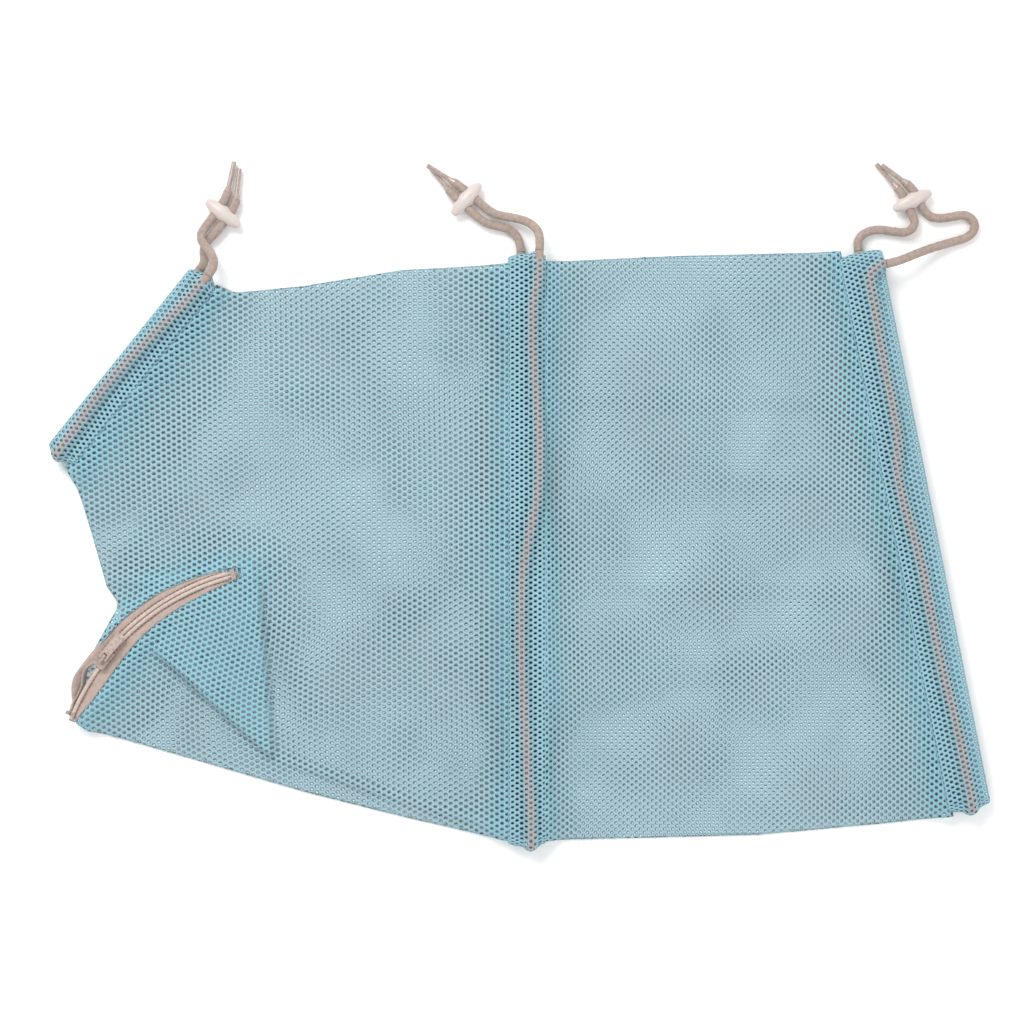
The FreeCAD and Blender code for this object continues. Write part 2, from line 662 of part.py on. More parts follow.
def bead(name, middle, angle):
    """A lens-shaped bead, turned about its long axis, with a bore for each of the two cord ends."""
    body = doc.addObject("PartDesign::Body", name + "_body")
    sketch = sketch_on(body, "XY_Plane", name + "_half")
    reach = size("bead_length") / 2
    end = size("bead_end")
    radius = size("bead_diameter") / 2
    pieces = [
        Part.LineSegment(Vector(-reach, 0, 0), Vector(reach, 0, 0)),
        Part.LineSegment(Vector(reach, 0, 0), Vector(reach, end, 0)),
        Part.Arc(Vector(reach, end, 0), Vector(0, radius, 0), Vector(-reach, end, 0)),
        Part.LineSegment(Vector(-reach, end, 0), Vector(-reach, 0, 0)),
    ]
    for piece in pieces:
        sketch.addGeometry(piece, False)
    sketch.addConstraint(Sketcher.Constraint("Coincident", 0, 2, 1, 1))
    sketch.addConstraint(Sketcher.Constraint("Coincident", 1, 2, 2, 1))
    sketch.addConstraint(Sketcher.Constraint("Coincident", 2, 2, 3, 1))
    sketch.addConstraint(Sketcher.Constraint("Coincident", 3, 2, 0, 1))
    fix_point(sketch, 0, 1, "-$bead_length / 2", "0")
    fix_point(sketch, 0, 2, "$bead_length / 2", "0")
    fix_point(sketch, 2, 1, "$bead_length / 2", "$bead_end")
    fix_point(sketch, 2, 2, "-$bead_length / 2", "$bead_end")
    rise = "($bead_diameter / 2 - $bead_end)"
    bow = f"(($bead_length / 2) * ($bead_length / 2) + {rise} * {rise}) / (2 * {rise})"
    index = sketch.addConstraint(Sketcher.Constraint("Radius", 2, value_of(sketch, bow)))
    sketch.setExpression(f"Constraints[{index}]", bow.replace("$", "Sizes."))
    turn = body.newObject("PartDesign::Revolution", name + "_turn")
    turn.Profile = sketch
    turn.ReferenceAxis = (sketch, ["H_Axis"])
    turn.Angle = 360
    doc.recompute()
    rims = [f"Edge{number + 1}" for number, rim in enumerate(turn.Shape.Edges)
            if isinstance(rim.Curve, Part.Circle) and abs(rim.Curve.Radius - end) < 0.01]
    rounding = body.newObject("PartDesign::Fillet", name + "_ends")
    rounding.Base = (turn, rims)
    bind(rounding, "Radius", "$bead_end_rounding")
    place = Placement(Vector(*middle, size("bead_height")), Rotation(Vector(0, 0, 1), angle))
    body.Placement = place
    result = body
    for side in (-1, 1):
        offset = side * size("bead_spacing") / 2
        foot = place.multVec(Vector(offset, -size("bead_diameter"), 0))
        drill = rod(f"{name}_drill_{side + 1}", "$bead_bore / 2", "$bead_diameter * 2", foot,
                    place.Rotation.multVec(Vector(0, 1, 0)))
        result = cut(f"{name}_bored_{side + 1}", result, drill)
    return keep(name, result)


for name, (middle, angle) in BEADS.items():
    bead(name, middle, angle)

# --- Check and write ------------------------------------------------------------------------------

doc.recompute()
for thing in doc.Objects:
    if "Invalid" in thing.State or "Error" in thing.State:
        raise RuntimeError(f"{thing.Name} did not build: {thing.State}")
os.makedirs("parts", exist_ok=True)
for name, thing in nodes.items():
    shape = thing.Shape
    if shape.isNull() or not shape.isValid():
        raise RuntimeError(f"{name} has no valid shape")
    shape.exportStep(f"parts/{name}.step")
print(len(nodes), "sub-parts written")
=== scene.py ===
import math

import bpy
import numpy as np
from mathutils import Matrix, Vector


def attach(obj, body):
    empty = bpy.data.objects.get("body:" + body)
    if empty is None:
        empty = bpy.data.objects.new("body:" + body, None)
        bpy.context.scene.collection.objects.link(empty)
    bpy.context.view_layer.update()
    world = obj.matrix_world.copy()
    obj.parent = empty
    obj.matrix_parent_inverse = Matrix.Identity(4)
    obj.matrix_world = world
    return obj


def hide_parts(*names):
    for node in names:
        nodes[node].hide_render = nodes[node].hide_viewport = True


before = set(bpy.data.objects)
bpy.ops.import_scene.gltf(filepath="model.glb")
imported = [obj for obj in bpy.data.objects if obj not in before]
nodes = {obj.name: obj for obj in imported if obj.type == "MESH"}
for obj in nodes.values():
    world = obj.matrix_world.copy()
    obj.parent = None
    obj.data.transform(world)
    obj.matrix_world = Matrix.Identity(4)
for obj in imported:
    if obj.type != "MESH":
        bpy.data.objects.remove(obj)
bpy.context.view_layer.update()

# --- Table, light and camera ----------------------------------------------------------------------
# The bag lies on a white table, seen from straight above. Two large soft lights stand either side
# of the lens, the left one stronger, so that folds show a light and a shaded flank.

MM = 0.001
VIEW_CENTRE = (-3.2 * MM, 21.2 * MM)
VIEW_HEIGHT = 1.44
TABLE_SIZE = 8.0


def rgb(code):
    """An sRGB hex colour as the linear values that a shader takes."""
    parts = [int(code[i:i + 2], 16) / 255 for i in (0, 2, 4)]
    linear = [p / 12.92 if p <= 0.04045 else ((p + 0.055) / 1.055) ** 2.4 for p in parts]
    return (*linear, 1.0)


def add(material, kind, settings=None, links=None, stops=()):
    """Add a shader node. Settings fill its properties or inputs, links feed its inputs, and
    stops are a colour ramp's places and colours."""
    made = material.node_tree.nodes.new(kind)
    for key, value in (settings or {}).items():
        if isinstance(key, int) or key in made.inputs.keys():
            made.inputs[key].default_value = value
        else:
            setattr(made, key, value)
    for key, source in (links or {}).items():
        material.node_tree.links.new(source, made.inputs[key])
    if stops:
        for stop, (place, code) in zip(made.color_ramp.elements, stops):
            stop.position, stop.color = place, rgb(code)
    return made


def start_material(name):
    """A new material without nodes but for its output."""
    material = bpy.data.materials.new(name)
    material.use_nodes = True
    for old in list(material.node_tree.nodes):
        material.node_tree.nodes.remove(old)
    return material, add(material, "ShaderNodeOutputMaterial")


def finish_material(material, output, shader):
    material.node_tree.links.new(shader.outputs[0], output.inputs["Surface"])
    return material


def coat_table():
    """Matt white table top: an even white with the faintest tooth."""
    material, output = start_material("matt_white_table")
    place = add(material, "ShaderNodeTexCoord")
    tooth = add(material, "ShaderNodeTexNoise", {"Scale": 900.0, "Detail": 2.0},
                {"Vector": place.outputs["Object"]})
    bump = add(material, "ShaderNodeBump", {"Strength": 0.02, "Distance": 0.0002},
               {"Height": tooth.outputs["Fac"]})
    shader = add(material, "ShaderNodeBsdfPrincipled",
                 {"Base Color": rgb("ffffff"), "Roughness": 0.9, "Specular IOR Level": 0.2},
                 {"Normal": bump.outputs["Normal"]})
    return finish_material(material, output, shader)


table_mesh = bpy.data.meshes.new("table")
half = TABLE_SIZE / 2
table_mesh.from_pydata([(-half, -half, 0), (half, -half, 0), (half, half, 0), (-half, half, 0)],
                       [], [(0, 1, 2, 3)])
table = bpy.data.objects.new("table", table_mesh)
table.location.z = -0.3 * MM
table_mesh.materials.append(coat_table())
bpy.context.collection.objects.link(table)

camera = bpy.data.objects.new("camera", bpy.data.cameras.new("camera"))
camera.data.lens = 85.0
camera.data.clip_start = 0.01
camera.location = (*VIEW_CENTRE, VIEW_HEIGHT)
bpy.context.collection.objects.link(camera)
bpy.context.scene.camera = camera


def softbox(name, place, aim, size, power):
    """A square studio light that points at one spot."""
    lamp = bpy.data.lights.new(name, "AREA")
    lamp.shape = "SQUARE"
    lamp.size = size
    lamp.energy = power
    holder = bpy.data.objects.new(name, lamp)
    holder.location = place
    holder.rotation_euler = (Vector(aim) - Vector(place)).to_track_quat("-Z", "Y").to_euler()
    bpy.context.collection.objects.link(holder)


softbox("key_light", (-0.7, 1.2, 1.5), (0, 0, 0), 0.9, 24.0)
softbox("fill_light", (1.2, -0.7, 1.6), (0, 0, 0), 1.4, 12.0)
world = bpy.data.worlds.new("studio_white")
world.use_nodes = True
world.node_tree.nodes["Background"].inputs["Color"].default_value = rgb("ffffff")
world.node_tree.nodes["Background"].inputs["Strength"].default_value = 0.72
bpy.context.scene.world = world
bpy.context.scene.view_settings.view_transform = "Standard"

# --- Drawcords ------------------------------------------------------------------------------------
# Soft braided polyester cord of 5.3 mm. Each one runs round the bag inside its casing and leaves
# by two outlets; the two ends pass through a cord lock and are drawn down into hard tips.

CORD_RADIUS = 2.65 * MM
OUTLETS = {
    # where each cord leaves its casing, low at the left outlet and high at the right one
    "neck_cord_tail_left": (-0.18854, 0.1653, 0.0037),
    "neck_cord_tail_right": (-0.18237, 0.16036, 0.0157),
    "waist_cord_tail_left": (0.002, 0.1753, 0.0037),
    "waist_cord_tail_right": (0.013, 0.1753, 0.0157),
    "rear_cord_tail_left": (0.20254, 0.17602, 0.0037),
    "rear_cord_tail_right": (0.21701, 0.16738, 0.0157),
}
TAILS = {
    "neck_cord_tail_left": [
        (-0.1856, 0.1691, 0.0035), (-0.1864, 0.1746, 0.0029), (-0.1862, 0.1789, 0.0028),
        (-0.1843, 0.1824, 0.0031), (-0.1792, 0.1866, 0.005), (-0.1676, 0.2016, 0.005),
        (-0.1671, 0.2064, 0.0045)],
    "neck_cord_tail_right": [
        (-0.1786, 0.1651, 0.0155), (-0.1796, 0.1723, 0.0129), (-0.1846, 0.1783, 0.01),
        (-0.1882, 0.184, 0.0073), (-0.186, 0.1895, 0.005), (-0.1732, 0.206, 0.005),
        (-0.1722, 0.2108, 0.0045)],
    "waist_cord_tail_left": [
        (0.0016, 0.1816, 0.0033), (-0.0014, 0.187, 0.0028), (-0.0068, 0.19, 0.0028),
        (-0.0134, 0.1913, 0.0034), (-0.0203, 0.1931, 0.005), (-0.0377, 0.2086, 0.005),
        (-0.0405, 0.2121, 0.0043)],
    "waist_cord_tail_right": [
        (0.0134, 0.1815, 0.0152), (0.0122, 0.1878, 0.0124), (0.0068, 0.1928, 0.0092),
        (-0.0008, 0.1954, 0.0066), (-0.0082, 0.1966, 0.0053), (-0.0155, 0.1985, 0.005),
        (-0.0329, 0.214, 0.005), (-0.0373, 0.2167, 0.0053)],
    "rear_cord_tail_left": [
        (0.2014, 0.1818, 0.0033), (0.206, 0.1872, 0.0028), (0.2139, 0.1893, 0.0028),
        (0.2224, 0.188, 0.0028), (0.2303, 0.1869, 0.0033), (0.2347, 0.1893, 0.0043),
        (0.236, 0.1938, 0.005), (0.23405, 0.19808, 0.005), (0.2286, 0.21, 0.005),
        (0.2256, 0.2136, 0.0044)],
    "rear_cord_tail_right": [
        (0.223, 0.1686, 0.0153), (0.231, 0.1718, 0.0124), (0.24, 0.1756, 0.0086),
        (0.2492, 0.1789, 0.0052), (0.257, 0.1812, 0.0032), (0.2624, 0.1827, 0.0027),
        (0.2673, 0.1843, 0.0027), (0.2712, 0.1876, 0.0027), (0.2722, 0.1925, 0.0027),
        (0.2694, 0.1966, 0.0027), (0.2646, 0.198, 0.0027), (0.2582, 0.1966, 0.0028),
        (0.251, 0.1954, 0.0033), (0.2426, 0.1968, 0.005), (0.2352, 0.213, 0.005),
        (0.2314, 0.2158, 0.0051)],
}
# Heights of a loop's two runs, and how far from the casing's fold it turns up.
LOW = 0.0037
HIGH = 0.0157
TURN = 0.0037
# Each cord's loop in its casing: distance along the casing, distance from its left edge, height.
CASING_LOOPS = {
    "neck": [
        (0.1423, 0.0036, LOW), (0.13, 0.0036, LOW), (0.105, 0.007, LOW), (0.07, 0.0095, LOW),
        (0.035, 0.0084, LOW), (0.02, 0.0075, LOW), (TURN, 0.0075, LOW), (TURN, 0.0075, HIGH),
        (0.022, 0.0075, HIGH), (0.048, 0.005, HIGH), (0.08, 0.0065, HIGH), (0.105, 0.0095, HIGH),
        (0.128, 0.0115, HIGH), (0.1423, 0.0115, HIGH)],
    "waist": [
        (0.3553, 0.0076, LOW), (0.343, 0.0076, LOW), (0.322, 0.0094, LOW), (0.286, 0.0116, LOW),
        (0.23, 0.0131, LOW), (0.17, 0.0096, LOW), (0.108, 0.0126, LOW), (0.054, 0.0161, LOW),
        (0.022, 0.014, LOW), (TURN, 0.014, LOW), (TURN, 0.014, HIGH), (0.02, 0.014, HIGH),
        (0.042, 0.0121, HIGH), (0.082, 0.0096, HIGH), (0.124, 0.0072, HIGH),
        (0.162, 0.0078, HIGH), (0.186, 0.012, HIGH), (0.212, 0.0182, HIGH),
        (0.248, 0.0185, HIGH), (0.284, 0.0154, HIGH), (0.32, 0.0138, HIGH),
        (0.342, 0.0186, HIGH), (0.3553, 0.0186, HIGH)],
    "rear": [
        (0.3408, 0.014, LOW), (0.328, 0.014, LOW), (0.306, 0.015, LOW), (0.262, 0.0135, LOW),
        (0.208, 0.011, LOW), (0.15, 0.014, LOW), (0.092, 0.016, LOW), (0.046, 0.0156, LOW),
        (0.022, 0.0144, LOW), (TURN, 0.0144, LOW), (TURN, 0.0144, HIGH), (0.022, 0.0144, HIGH),
        (0.052, 0.0148, HIGH), (0.086, 0.0124, HIGH), (0.122, 0.0119, HIGH),
        (0.155, 0.0129, HIGH), (0.182, 0.0096, HIGH), (0.206, 0.0082, HIGH),
        (0.226, 0.0134, HIGH), (0.25, 0.0142, HIGH), (0.276, 0.013, HIGH),
        (0.304, 0.0152, HIGH), (0.3295, 0.0145, HIGH), (0.3295, 0.0265, HIGH)],
}
# Each casing: the belly end of its left edge, its direction, its length and its width.
CASINGS = {
    "neck": ((-0.2805, 0.0566), 51.25, 0.144, 0.020),
    "waist": ((-0.0056, -0.18), 90.0, 0.357, 0.0224),
    "rear": ((0.255, -0.161), 101.2, 0.3425, 0.026),
}


def in_casing(casing, along, across, height):
    """A point of a casing's own frame, in the bag's frame. Works on numbers and on arrays."""
    (x, y), angle, _, _ = CASINGS[casing]
    turn = math.radians(angle)
    east = x + along * math.cos(turn) + across * math.sin(turn)
    north = y + along * math.sin(turn) - across * math.cos(turn)
    return east, north, height


def smooth_route(points, step):
    """Evenly spaced points on the smooth line that follows a route."""
    curve = bpy.data.curves.new("route", "CURVE")
    curve.dimensions = "3D"
    spline = curve.splines.new("NURBS")
    spline.points.add(len(points) - 1)
    for control, point in zip(spline.points, points):
        control.co = (*point, 1.0)
    spline.order_u = 3
    spline.use_endpoint_u = True
    spline.resolution_u = 16
    holder = bpy.data.objects.new("route", curve)
    line = bpy.data.meshes.new_from_object(holder)
    places = np.array([v.co[:] for v in line.vertices])
    bpy.data.objects.remove(holder)
    bpy.data.curves.remove(curve)
    bpy.data.meshes.remove(line)
    steps = np.linalg.norm(np.diff(places, axis=0), axis=1)
    travelled = np.concatenate([[0.0], np.cumsum(steps)])
    count = max(8, round(travelled[-1] / step))
    wanted = np.linspace(0.0, travelled[-1], count + 1)
    return np.stack([np.interp(wanted, travelled, places[:, axis]) for axis in range(3)], axis=1)


def make_object(name, points, faces, smooth=True):
    """A mesh object from arrays of points in metres and faces."""
    mesh = bpy.data.meshes.new(name)
    mesh.from_pydata(points.tolist() if hasattr(points, "tolist") else points, [],
                     faces.tolist() if hasattr(faces, "tolist") else faces)
    mesh.polygons.foreach_set("use_smooth", [smooth] * len(mesh.polygons))
    mesh.validate()
    made = bpy.data.objects.new(name, mesh)
    bpy.context.collection.objects.link(made)
    return made


def frames_along(line):
    """Two unit normals at each point of a line, carried along it without twist."""
    tangents = np.gradient(line, axis=0)
    tangents /= np.linalg.norm(tangents, axis=1)[:, None]
    side = np.cross(tangents[0], (0.0, 0.0, 1.0))
    side /= np.linalg.norm(side)
    sides = []
    for tangent in tangents:
        side = side - tangent * side.dot(tangent)
        side /= np.linalg.norm(side)
        sides.append(side)
    sides = np.array(sides)
    return sides, np.cross(tangents, sides)


def tube(name, line, radii):
    """A closed tube round a line. radii holds one row for each point and a column for each side."""
    count, around = radii.shape
    sides, ups = frames_along(line)
    turn = np.linspace(0, 2 * math.pi, around, endpoint=False)
    spokes = (np.cos(turn)[None, :, None] * sides[:, None, :]
              + np.sin(turn)[None, :, None] * ups[:, None, :])
    points = (line[:, None, :] + spokes * radii[:, :, None]).reshape(-1, 3)
    faces = []
    for ring in range(count - 1):
        for side in range(around):
            after = (side + 1) % around
            faces.append((ring * around + side, (ring + 1) * around + side,
                          (ring + 1) * around + after, ring * around + after))
    faces.append(tuple(range(around)))
    faces.append(tuple(reversed(range((count - 1) * around, count * around))))
    return make_object(name, points, faces)


BRAID_REPEAT = 5.2 * MM
BRAID_STRANDS = 8
BRAID_RELIEF = 0.03


def braided_tube(name, line, step, around):
    """Cord whose surface rises where one family of strands lies over the other."""
    turn = np.linspace(0, 2 * math.pi, around, endpoint=False)[None, :]
    along = (np.arange(len(line)) * step)[:, None] * 2 * math.pi / BRAID_REPEAT
    one = np.cos(BRAID_STRANDS / 2 * turn + along)
    other = np.cos(BRAID_STRANDS / 2 * turn - along)
    relief = np.maximum(one, other) - 0.45
    return tube(name, line, CORD_RADIUS * (1 - BRAID_RELIEF + BRAID_RELIEF * relief))


def mottle(material, grain, detail, stops):
    """An uneven pattern of one grain size in millimetres, and the tint that it gives."""
    place = add(material, "ShaderNodeTexCoord")
    pattern = add(material, "ShaderNodeTexNoise", {"Scale": 1.0 / (grain * MM), "Detail": detail},
                  {"Vector": place.outputs["Object"]})
    tint = add(material, "ShaderNodeValToRGB", links={"Fac": pattern.outputs["Fac"]}, stops=stops)
    return pattern.outputs["Fac"], tint.outputs["Color"]


def dress(thing, finish, slot, *stands_for):
    """Give a flexible piece its finish and body, and hide the solids it stands for."""
    thing.data.materials.append(finish)
    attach(thing, "bag")
    if stands_for:
        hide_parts(*stands_for)
    return thing


def braid_polyester():
    """Braided polyester: matt, with strands a little lighter and darker and a bloom of fibre."""
    material, output = start_material("braided_polyester_cord")
    strands, tint = mottle(material, 2.0, 2.0, ((0.32, "9a897f"), (0.68, "ad9b91")))
    bump = add(material, "ShaderNodeBump", {"Strength": 0.3, "Distance": 0.0002},
               {"Height": strands})
    shader = add(material, "ShaderNodeBsdfPrincipled",
                 {"Roughness": 0.82, "Sheen Weight": 0.25, "Sheen Roughness": 0.5,
                  "Specular IOR Level": 0.3},
                 {"Base Color": tint, "Normal": bump.outputs["Normal"]})
    return finish_material(material, output, shader)


cord_finish = braid_polyester()
TAIL_STEP = 0.7 * MM
LOOP_STEP = 1.3 * MM
for name, points in TAILS.items():
    casing, _, _, side = name.split("_")
    line = smooth_route([OUTLETS[name]] + points, TAIL_STEP)
    cord = braided_tube(f"{casing}_cord_end_{side}", line, TAIL_STEP, 32)
    dress(cord, cord_finish, "cord", name)
loop_lines = {}
for casing, loop in CASING_LOOPS.items():
    line = smooth_route([in_casing(casing, *point) for point in loop], LOOP_STEP)
    loop_lines[casing] = line
    cord = braided_tube(f"{casing}_cord_loop", line, LOOP_STEP, 16)
    dress(cord, cord_finish, "cord", f"{casing}_cord_in_casing")

# --- Cord tips and cord locks ---------------------------------------------------------------------
# The tips are cord ends shrunk into clear PVC sleeves. The locks are beads of moulded acetal with
# two bores; friction on the doubled cord holds them where they are put.


def shrink_clear_sleeve():
    """PVC sleeve over cord: the cord's colour under a wet gloss, streaked along the fibres."""
    material, output = start_material("pvc_sleeve_over_cord")
    _, tint = mottle(material, 0.9, 2.0, ((0.35, "8f7f76"), (0.7, "bcaaa0")))
    shader = add(material, "ShaderNodeBsdfPrincipled",
                 {"Roughness": 0.35, "Coat Weight": 0.8, "Coat Roughness": 0.08},
                 {"Base Color": tint})
    return finish_material(material, output, shader)


def mould_acetal():
    """Moulded acetal: off-white and slightly waxy, with the faint unevenness of a cooled skin."""
    material, output = start_material("moulded_acetal_bead")
    skin, tint = mottle(material, 6.0, 2.0, ((0.0, "c9bdb8"), (1.0, "d6cbc6")))
    bump = add(material, "ShaderNodeBump", {"Strength": 0.08, "Distance": 0.0002}, {"Height": skin})
    shader = add(material, "ShaderNodeBsdfPrincipled",
                 {"Roughness": 0.34, "IOR": 1.48, "Subsurface Weight": 0.15,
                  "Subsurface Radius": (0.004, 0.003, 0.003), "Subsurface Scale": 0.5},
                 {"Base Color": tint, "Normal": bump.outputs["Normal"]})
    return finish_material(material, output, shader)


sleeve_finish = shrink_clear_sleeve()
bead_finish = mould_acetal()
for name, thing in nodes.items():
    if "_tip_" in name:
        thing.material_slots[0].material = sleeve_finish
    if name.endswith("_lock"):
        thing.material_slots[0].material = bead_finish

# --- Mesh cloth -----------------------------------------------------------------------------------
# Warp-knitted polyester mesh: small oval holes in columns, each column half a hole out of step with
# the next. It is made here as a real net, each hole with its own rim of cloth.

HOLE_SPACING = 3.5
COLUMN_SPACING = 3.05
HOLE_HALF_WIDTH = 1.1
HOLE_HALF_HEIGHT = 0.7
HOLE_LEAN = math.radians(9)
CLOTH_THICKNESS = 0.5
EDGE_BAND = 0.7
AROUND_HOLE = np.radians([0, 60, 120, 180, 240, 300])


def knit_net(name, low, high, hold, place, lay=None, spacing=(COLUMN_SPACING, HOLE_SPACING),
             rounds=None):
    """A net of cloth over a rectangle of its own flat coordinates, in millimetres.

    u runs across the columns of holes and v along them. lay(u, v) moves them to where the cloth
    lies. hold(u, v, band) returns them moved inside the cloth's outline, at least band from it,
    and whether each was inside already. place(u, v, lift) returns their places in the bag. A net
    that closes on itself along v keeps just its rounds of holes.
    """
    column_step, hole_step = spacing
    corner = column_step * 2 / 3
    columns = np.arange(math.floor(low[0] / column_step) - 2,
                        math.ceil(high[0] / column_step) + 3)
    rows = np.arange(math.floor(low[1] / hole_step) - 2, math.ceil(high[1] / hole_step) + 3)
    column, row = np.meshgrid(columns, rows)
    odd = column % 2
    centre_u = column * column_step
    centre_v = (row + 0.5 * odd) * hole_step
    width = len(columns)
    index = np.arange(row.size).reshape(row.shape)
    cos, sin = math.cos(HOLE_LEAN), math.sin(HOLE_LEAN)
    wide = HOLE_HALF_WIDTH * column_step / COLUMN_SPACING
    tall = HOLE_HALF_HEIGHT * hole_step / HOLE_SPACING
    rim_u, rim_v = wide * np.cos(AROUND_HOLE), tall * np.sin(AROUND_HOLE)
    rim_u, rim_v = rim_u * cos - rim_v * sin, rim_u * sin + rim_v * cos
    # Ten points to a hole: the strand crossings to its right and left, each with a top and an
    # underside, and six round its rim.
    offsets = [(corner, 0, 0.5), (corner, 0, -0.5), (-corner, 0, 0.5), (-corner, 0, -0.5)]
    offsets += [(u, v, 0.0) for u, v in zip(rim_u, rim_v)]
    offsets = np.array(offsets)
    u = centre_u.reshape(-1, 1) + offsets[:, 0]
    v = centre_v.reshape(-1, 1) + offsets[:, 1]
    if lay:
        u, v = lay(u, v)
    lift = np.broadcast_to(offsets[:, 2] * CLOTH_THICKNESS, u.shape).copy()
    outer_u, outer_v, inside = hold(u[:, :4].ravel(), v[:, :4].ravel(), 0.0)
    rim_hold_u, rim_hold_v, _ = hold(u[:, 4:].ravel(), v[:, 4:].ravel(), EDGE_BAND)
    inside = inside.reshape(-1, 4)
    lift[:, :4] *= inside
    u[:, :4], v[:, :4] = outer_u.reshape(-1, 4), outer_v.reshape(-1, 4)
    u[:, 4:], v[:, 4:] = rim_hold_u.reshape(-1, 6), rim_hold_v.reshape(-1, 6)
    points = place(u.ravel(), v.ravel(), lift.ravel())

    inner = (slice(1, -1), slice(1, -1))
    here = index[inner].ravel()
    shift = odd[inner].ravel() * width
    up_right, up_left = here + shift + 1, here + shift - 1
    low_right, low_left = up_right - width, up_left - width
    # The six crossings round a hole, anticlockwise from the right; 2 is a cell's left one.
    crossings = [(here, 0), (up_right, 2), (up_left, 0), (here, 2), (low_left, 0), (low_right, 2)]
    kept = np.zeros(here.shape, bool)
    for cell, place_in_cell in crossings:
        kept |= inside[cell, place_in_cell]
    if rounds:
        kept &= (row[inner].ravel() >= 0) & (row[inner].ravel() < rounds)
    tops = np.stack([cell * 10 + which for cell, which in crossings], axis=1)[kept]
    rims = (here[kept] * 10)[:, None] + np.arange(4, 10)
    after = np.roll(np.arange(6), -1)
    upper = np.stack([tops, tops[:, after], rims[:, after], rims], axis=2)
    lower = np.stack([rims, rims[:, after], tops[:, after] + 1, tops + 1], axis=2)
    faces = np.concatenate([upper.reshape(-1, 4), lower.reshape(-1, 4)])
    across = points[faces[:, 2]] - points[faces[:, 0]]
    other = points[faces[:, 3]] - points[faces[:, 1]]
    area = np.linalg.norm(np.cross(across, other), axis=1) / 2
    faces = faces[area > 0.002]
    used, faces = np.unique(faces, return_inverse=True)
    return make_object(name, points[used] * MM, faces.reshape(-1, 4))


def from_line(u, v, outline):
    """Distance inside an outline, negative outside it, and the nearest place on it."""
    best = np.full(u.shape, np.inf)
    near_u, near_v = np.zeros(u.shape), np.zeros(u.shape)
    inside = np.zeros(u.shape, bool)
    for (x0, y0), (x1, y1) in zip(outline, outline[1:] + outline[:1]):
        dx, dy = x1 - x0, y1 - y0
        share = np.clip(((u - x0) * dx + (v - y0) * dy) / (dx * dx + dy * dy), 0, 1)
        at_u, at_v = x0 + share * dx, y0 + share * dy
        distance = np.hypot(u - at_u, v - at_v)
        closer = distance < best
        best = np.where(closer, distance, best)
        near_u, near_v = np.where(closer, at_u, near_u), np.where(closer, at_v, near_v)
        if dy != 0:
            crosses = ((y0 > v) != (y1 > v)) & (u < (x1 - x0) * (v - y0) / dy + x0)
            inside ^= crosses
    return np.where(inside, best, -best), near_u, near_v


def hold_inside(outline, u, v, band):
    """Move points that are outside an outline, or nearer than a band to it, to the band."""
    distance, near_u, near_v = from_line(u, v, outline)
    reach = np.maximum(np.abs(distance), 1e-6)
    way_u = (u - near_u) * np.sign(distance) / reach
    way_v = (v - near_v) * np.sign(distance) / reach
    move = distance < band
    return (np.where(move, near_u + way_u * band, u), np.where(move, near_v + way_v * band, v),
            distance > 0)


# Outlines of the two sleeves seen from above; each runs a little way in under its casings.
FRONT_OUTLINE = [
    (-268.5, 47.5), (-261.3, 35.0), (-252.4, 4.7), (-244.5, -23.0), (-236.6, -33.8),
    (-243.5, -46.5), (-252.2, -62.4), (-262.4, -76.5), (-263.6, -84.0), (-262.8, -94.0),
    (-263.3, -98.0), (-261.4, -104.4), (-255.0, -109.2), (-246.0, -110.8), (-187.0, -127.7),
    (-128.0, -145.0), (-69.0, -160.0), (-10.0, -173.5), (-1.0, -174.5), (-1.0, 169.0),
    (-69.3, 165.2), (-128.3, 155.6), (-168.0, 151.8), (-178.5, 156.0)]
REAR_OUTLINE = [
    (12.5, -174.3), (143.0, -171.0), (220.0, -164.0), (259.0, -159.5), (192.0, 176.0),
    (90.0, 173.5), (12.5, 169.8)]

TOP_HEIGHT = 12.6
SLACK_HEIGHT = 1.2
UNDER_HEIGHT = 0.6
EDGE_ROLL = 4.0
ZIP_CENTRE = (-133.7, -152.2)
ZIP_RADIUS = 140.9
# Half the width of the slot that the zip fills, to its inner and outer side, by angle.
SLOT_ANGLES = [101.0, 101.8, 104, 108, 114, 122, 132, 139, 142, 144, 147, 152, 157, 160, 161.5]
SLOT_INNER = [0.0, 2.2, 3.6, 4.8, 6.2, 7.0, 7.8, 9.2, 9.5, 9.6, 9.6, 8.4, 5.2, 2.2, 0.0]
SLOT_OUTER = [0.0, 1.9, 3.0, 4.0, 5.2, 6.6, 7.0, 6.4, 6.6, 12.0, 12.0, 14.0, 12.0, 6.0, 0.0]
# Lines that the cloth is sewn to its casings along, each from its belly end to its back end, and
# how far from it the cloth takes to come down.
SEAMS = {
    "neck": ((-264.9, 44.1), (-175.9, 155.1), 15.0),
    "waist_front": ((-5.6, -180.0), (-5.6, 178.0), 10.0),
    "waist_rear": ((16.8, -180.0), (16.8, 178.0), 8.0),
    "rear": ((255.0, -161.0), (188.5, 175.0), 9.0),
}
# How far the zip holds the cloth up, outside its arc and inside it, and how wide its sewn hem is.
ZIP_REACH = (12.0, 16.0)
ZIP_HEM = 5.0
# The flap of cloth that the zip's end props up: its back corners lie along the zip.
FLAP_FALL = 4.5
FLAP_LENGTH = 90
FLAP_HEM = 5
FLAP = [(-213.0, -60.0), (-147.5, -121.0), (-154.5, -26.0), (-158.5, -17.5), (-185.0, -24.0)]
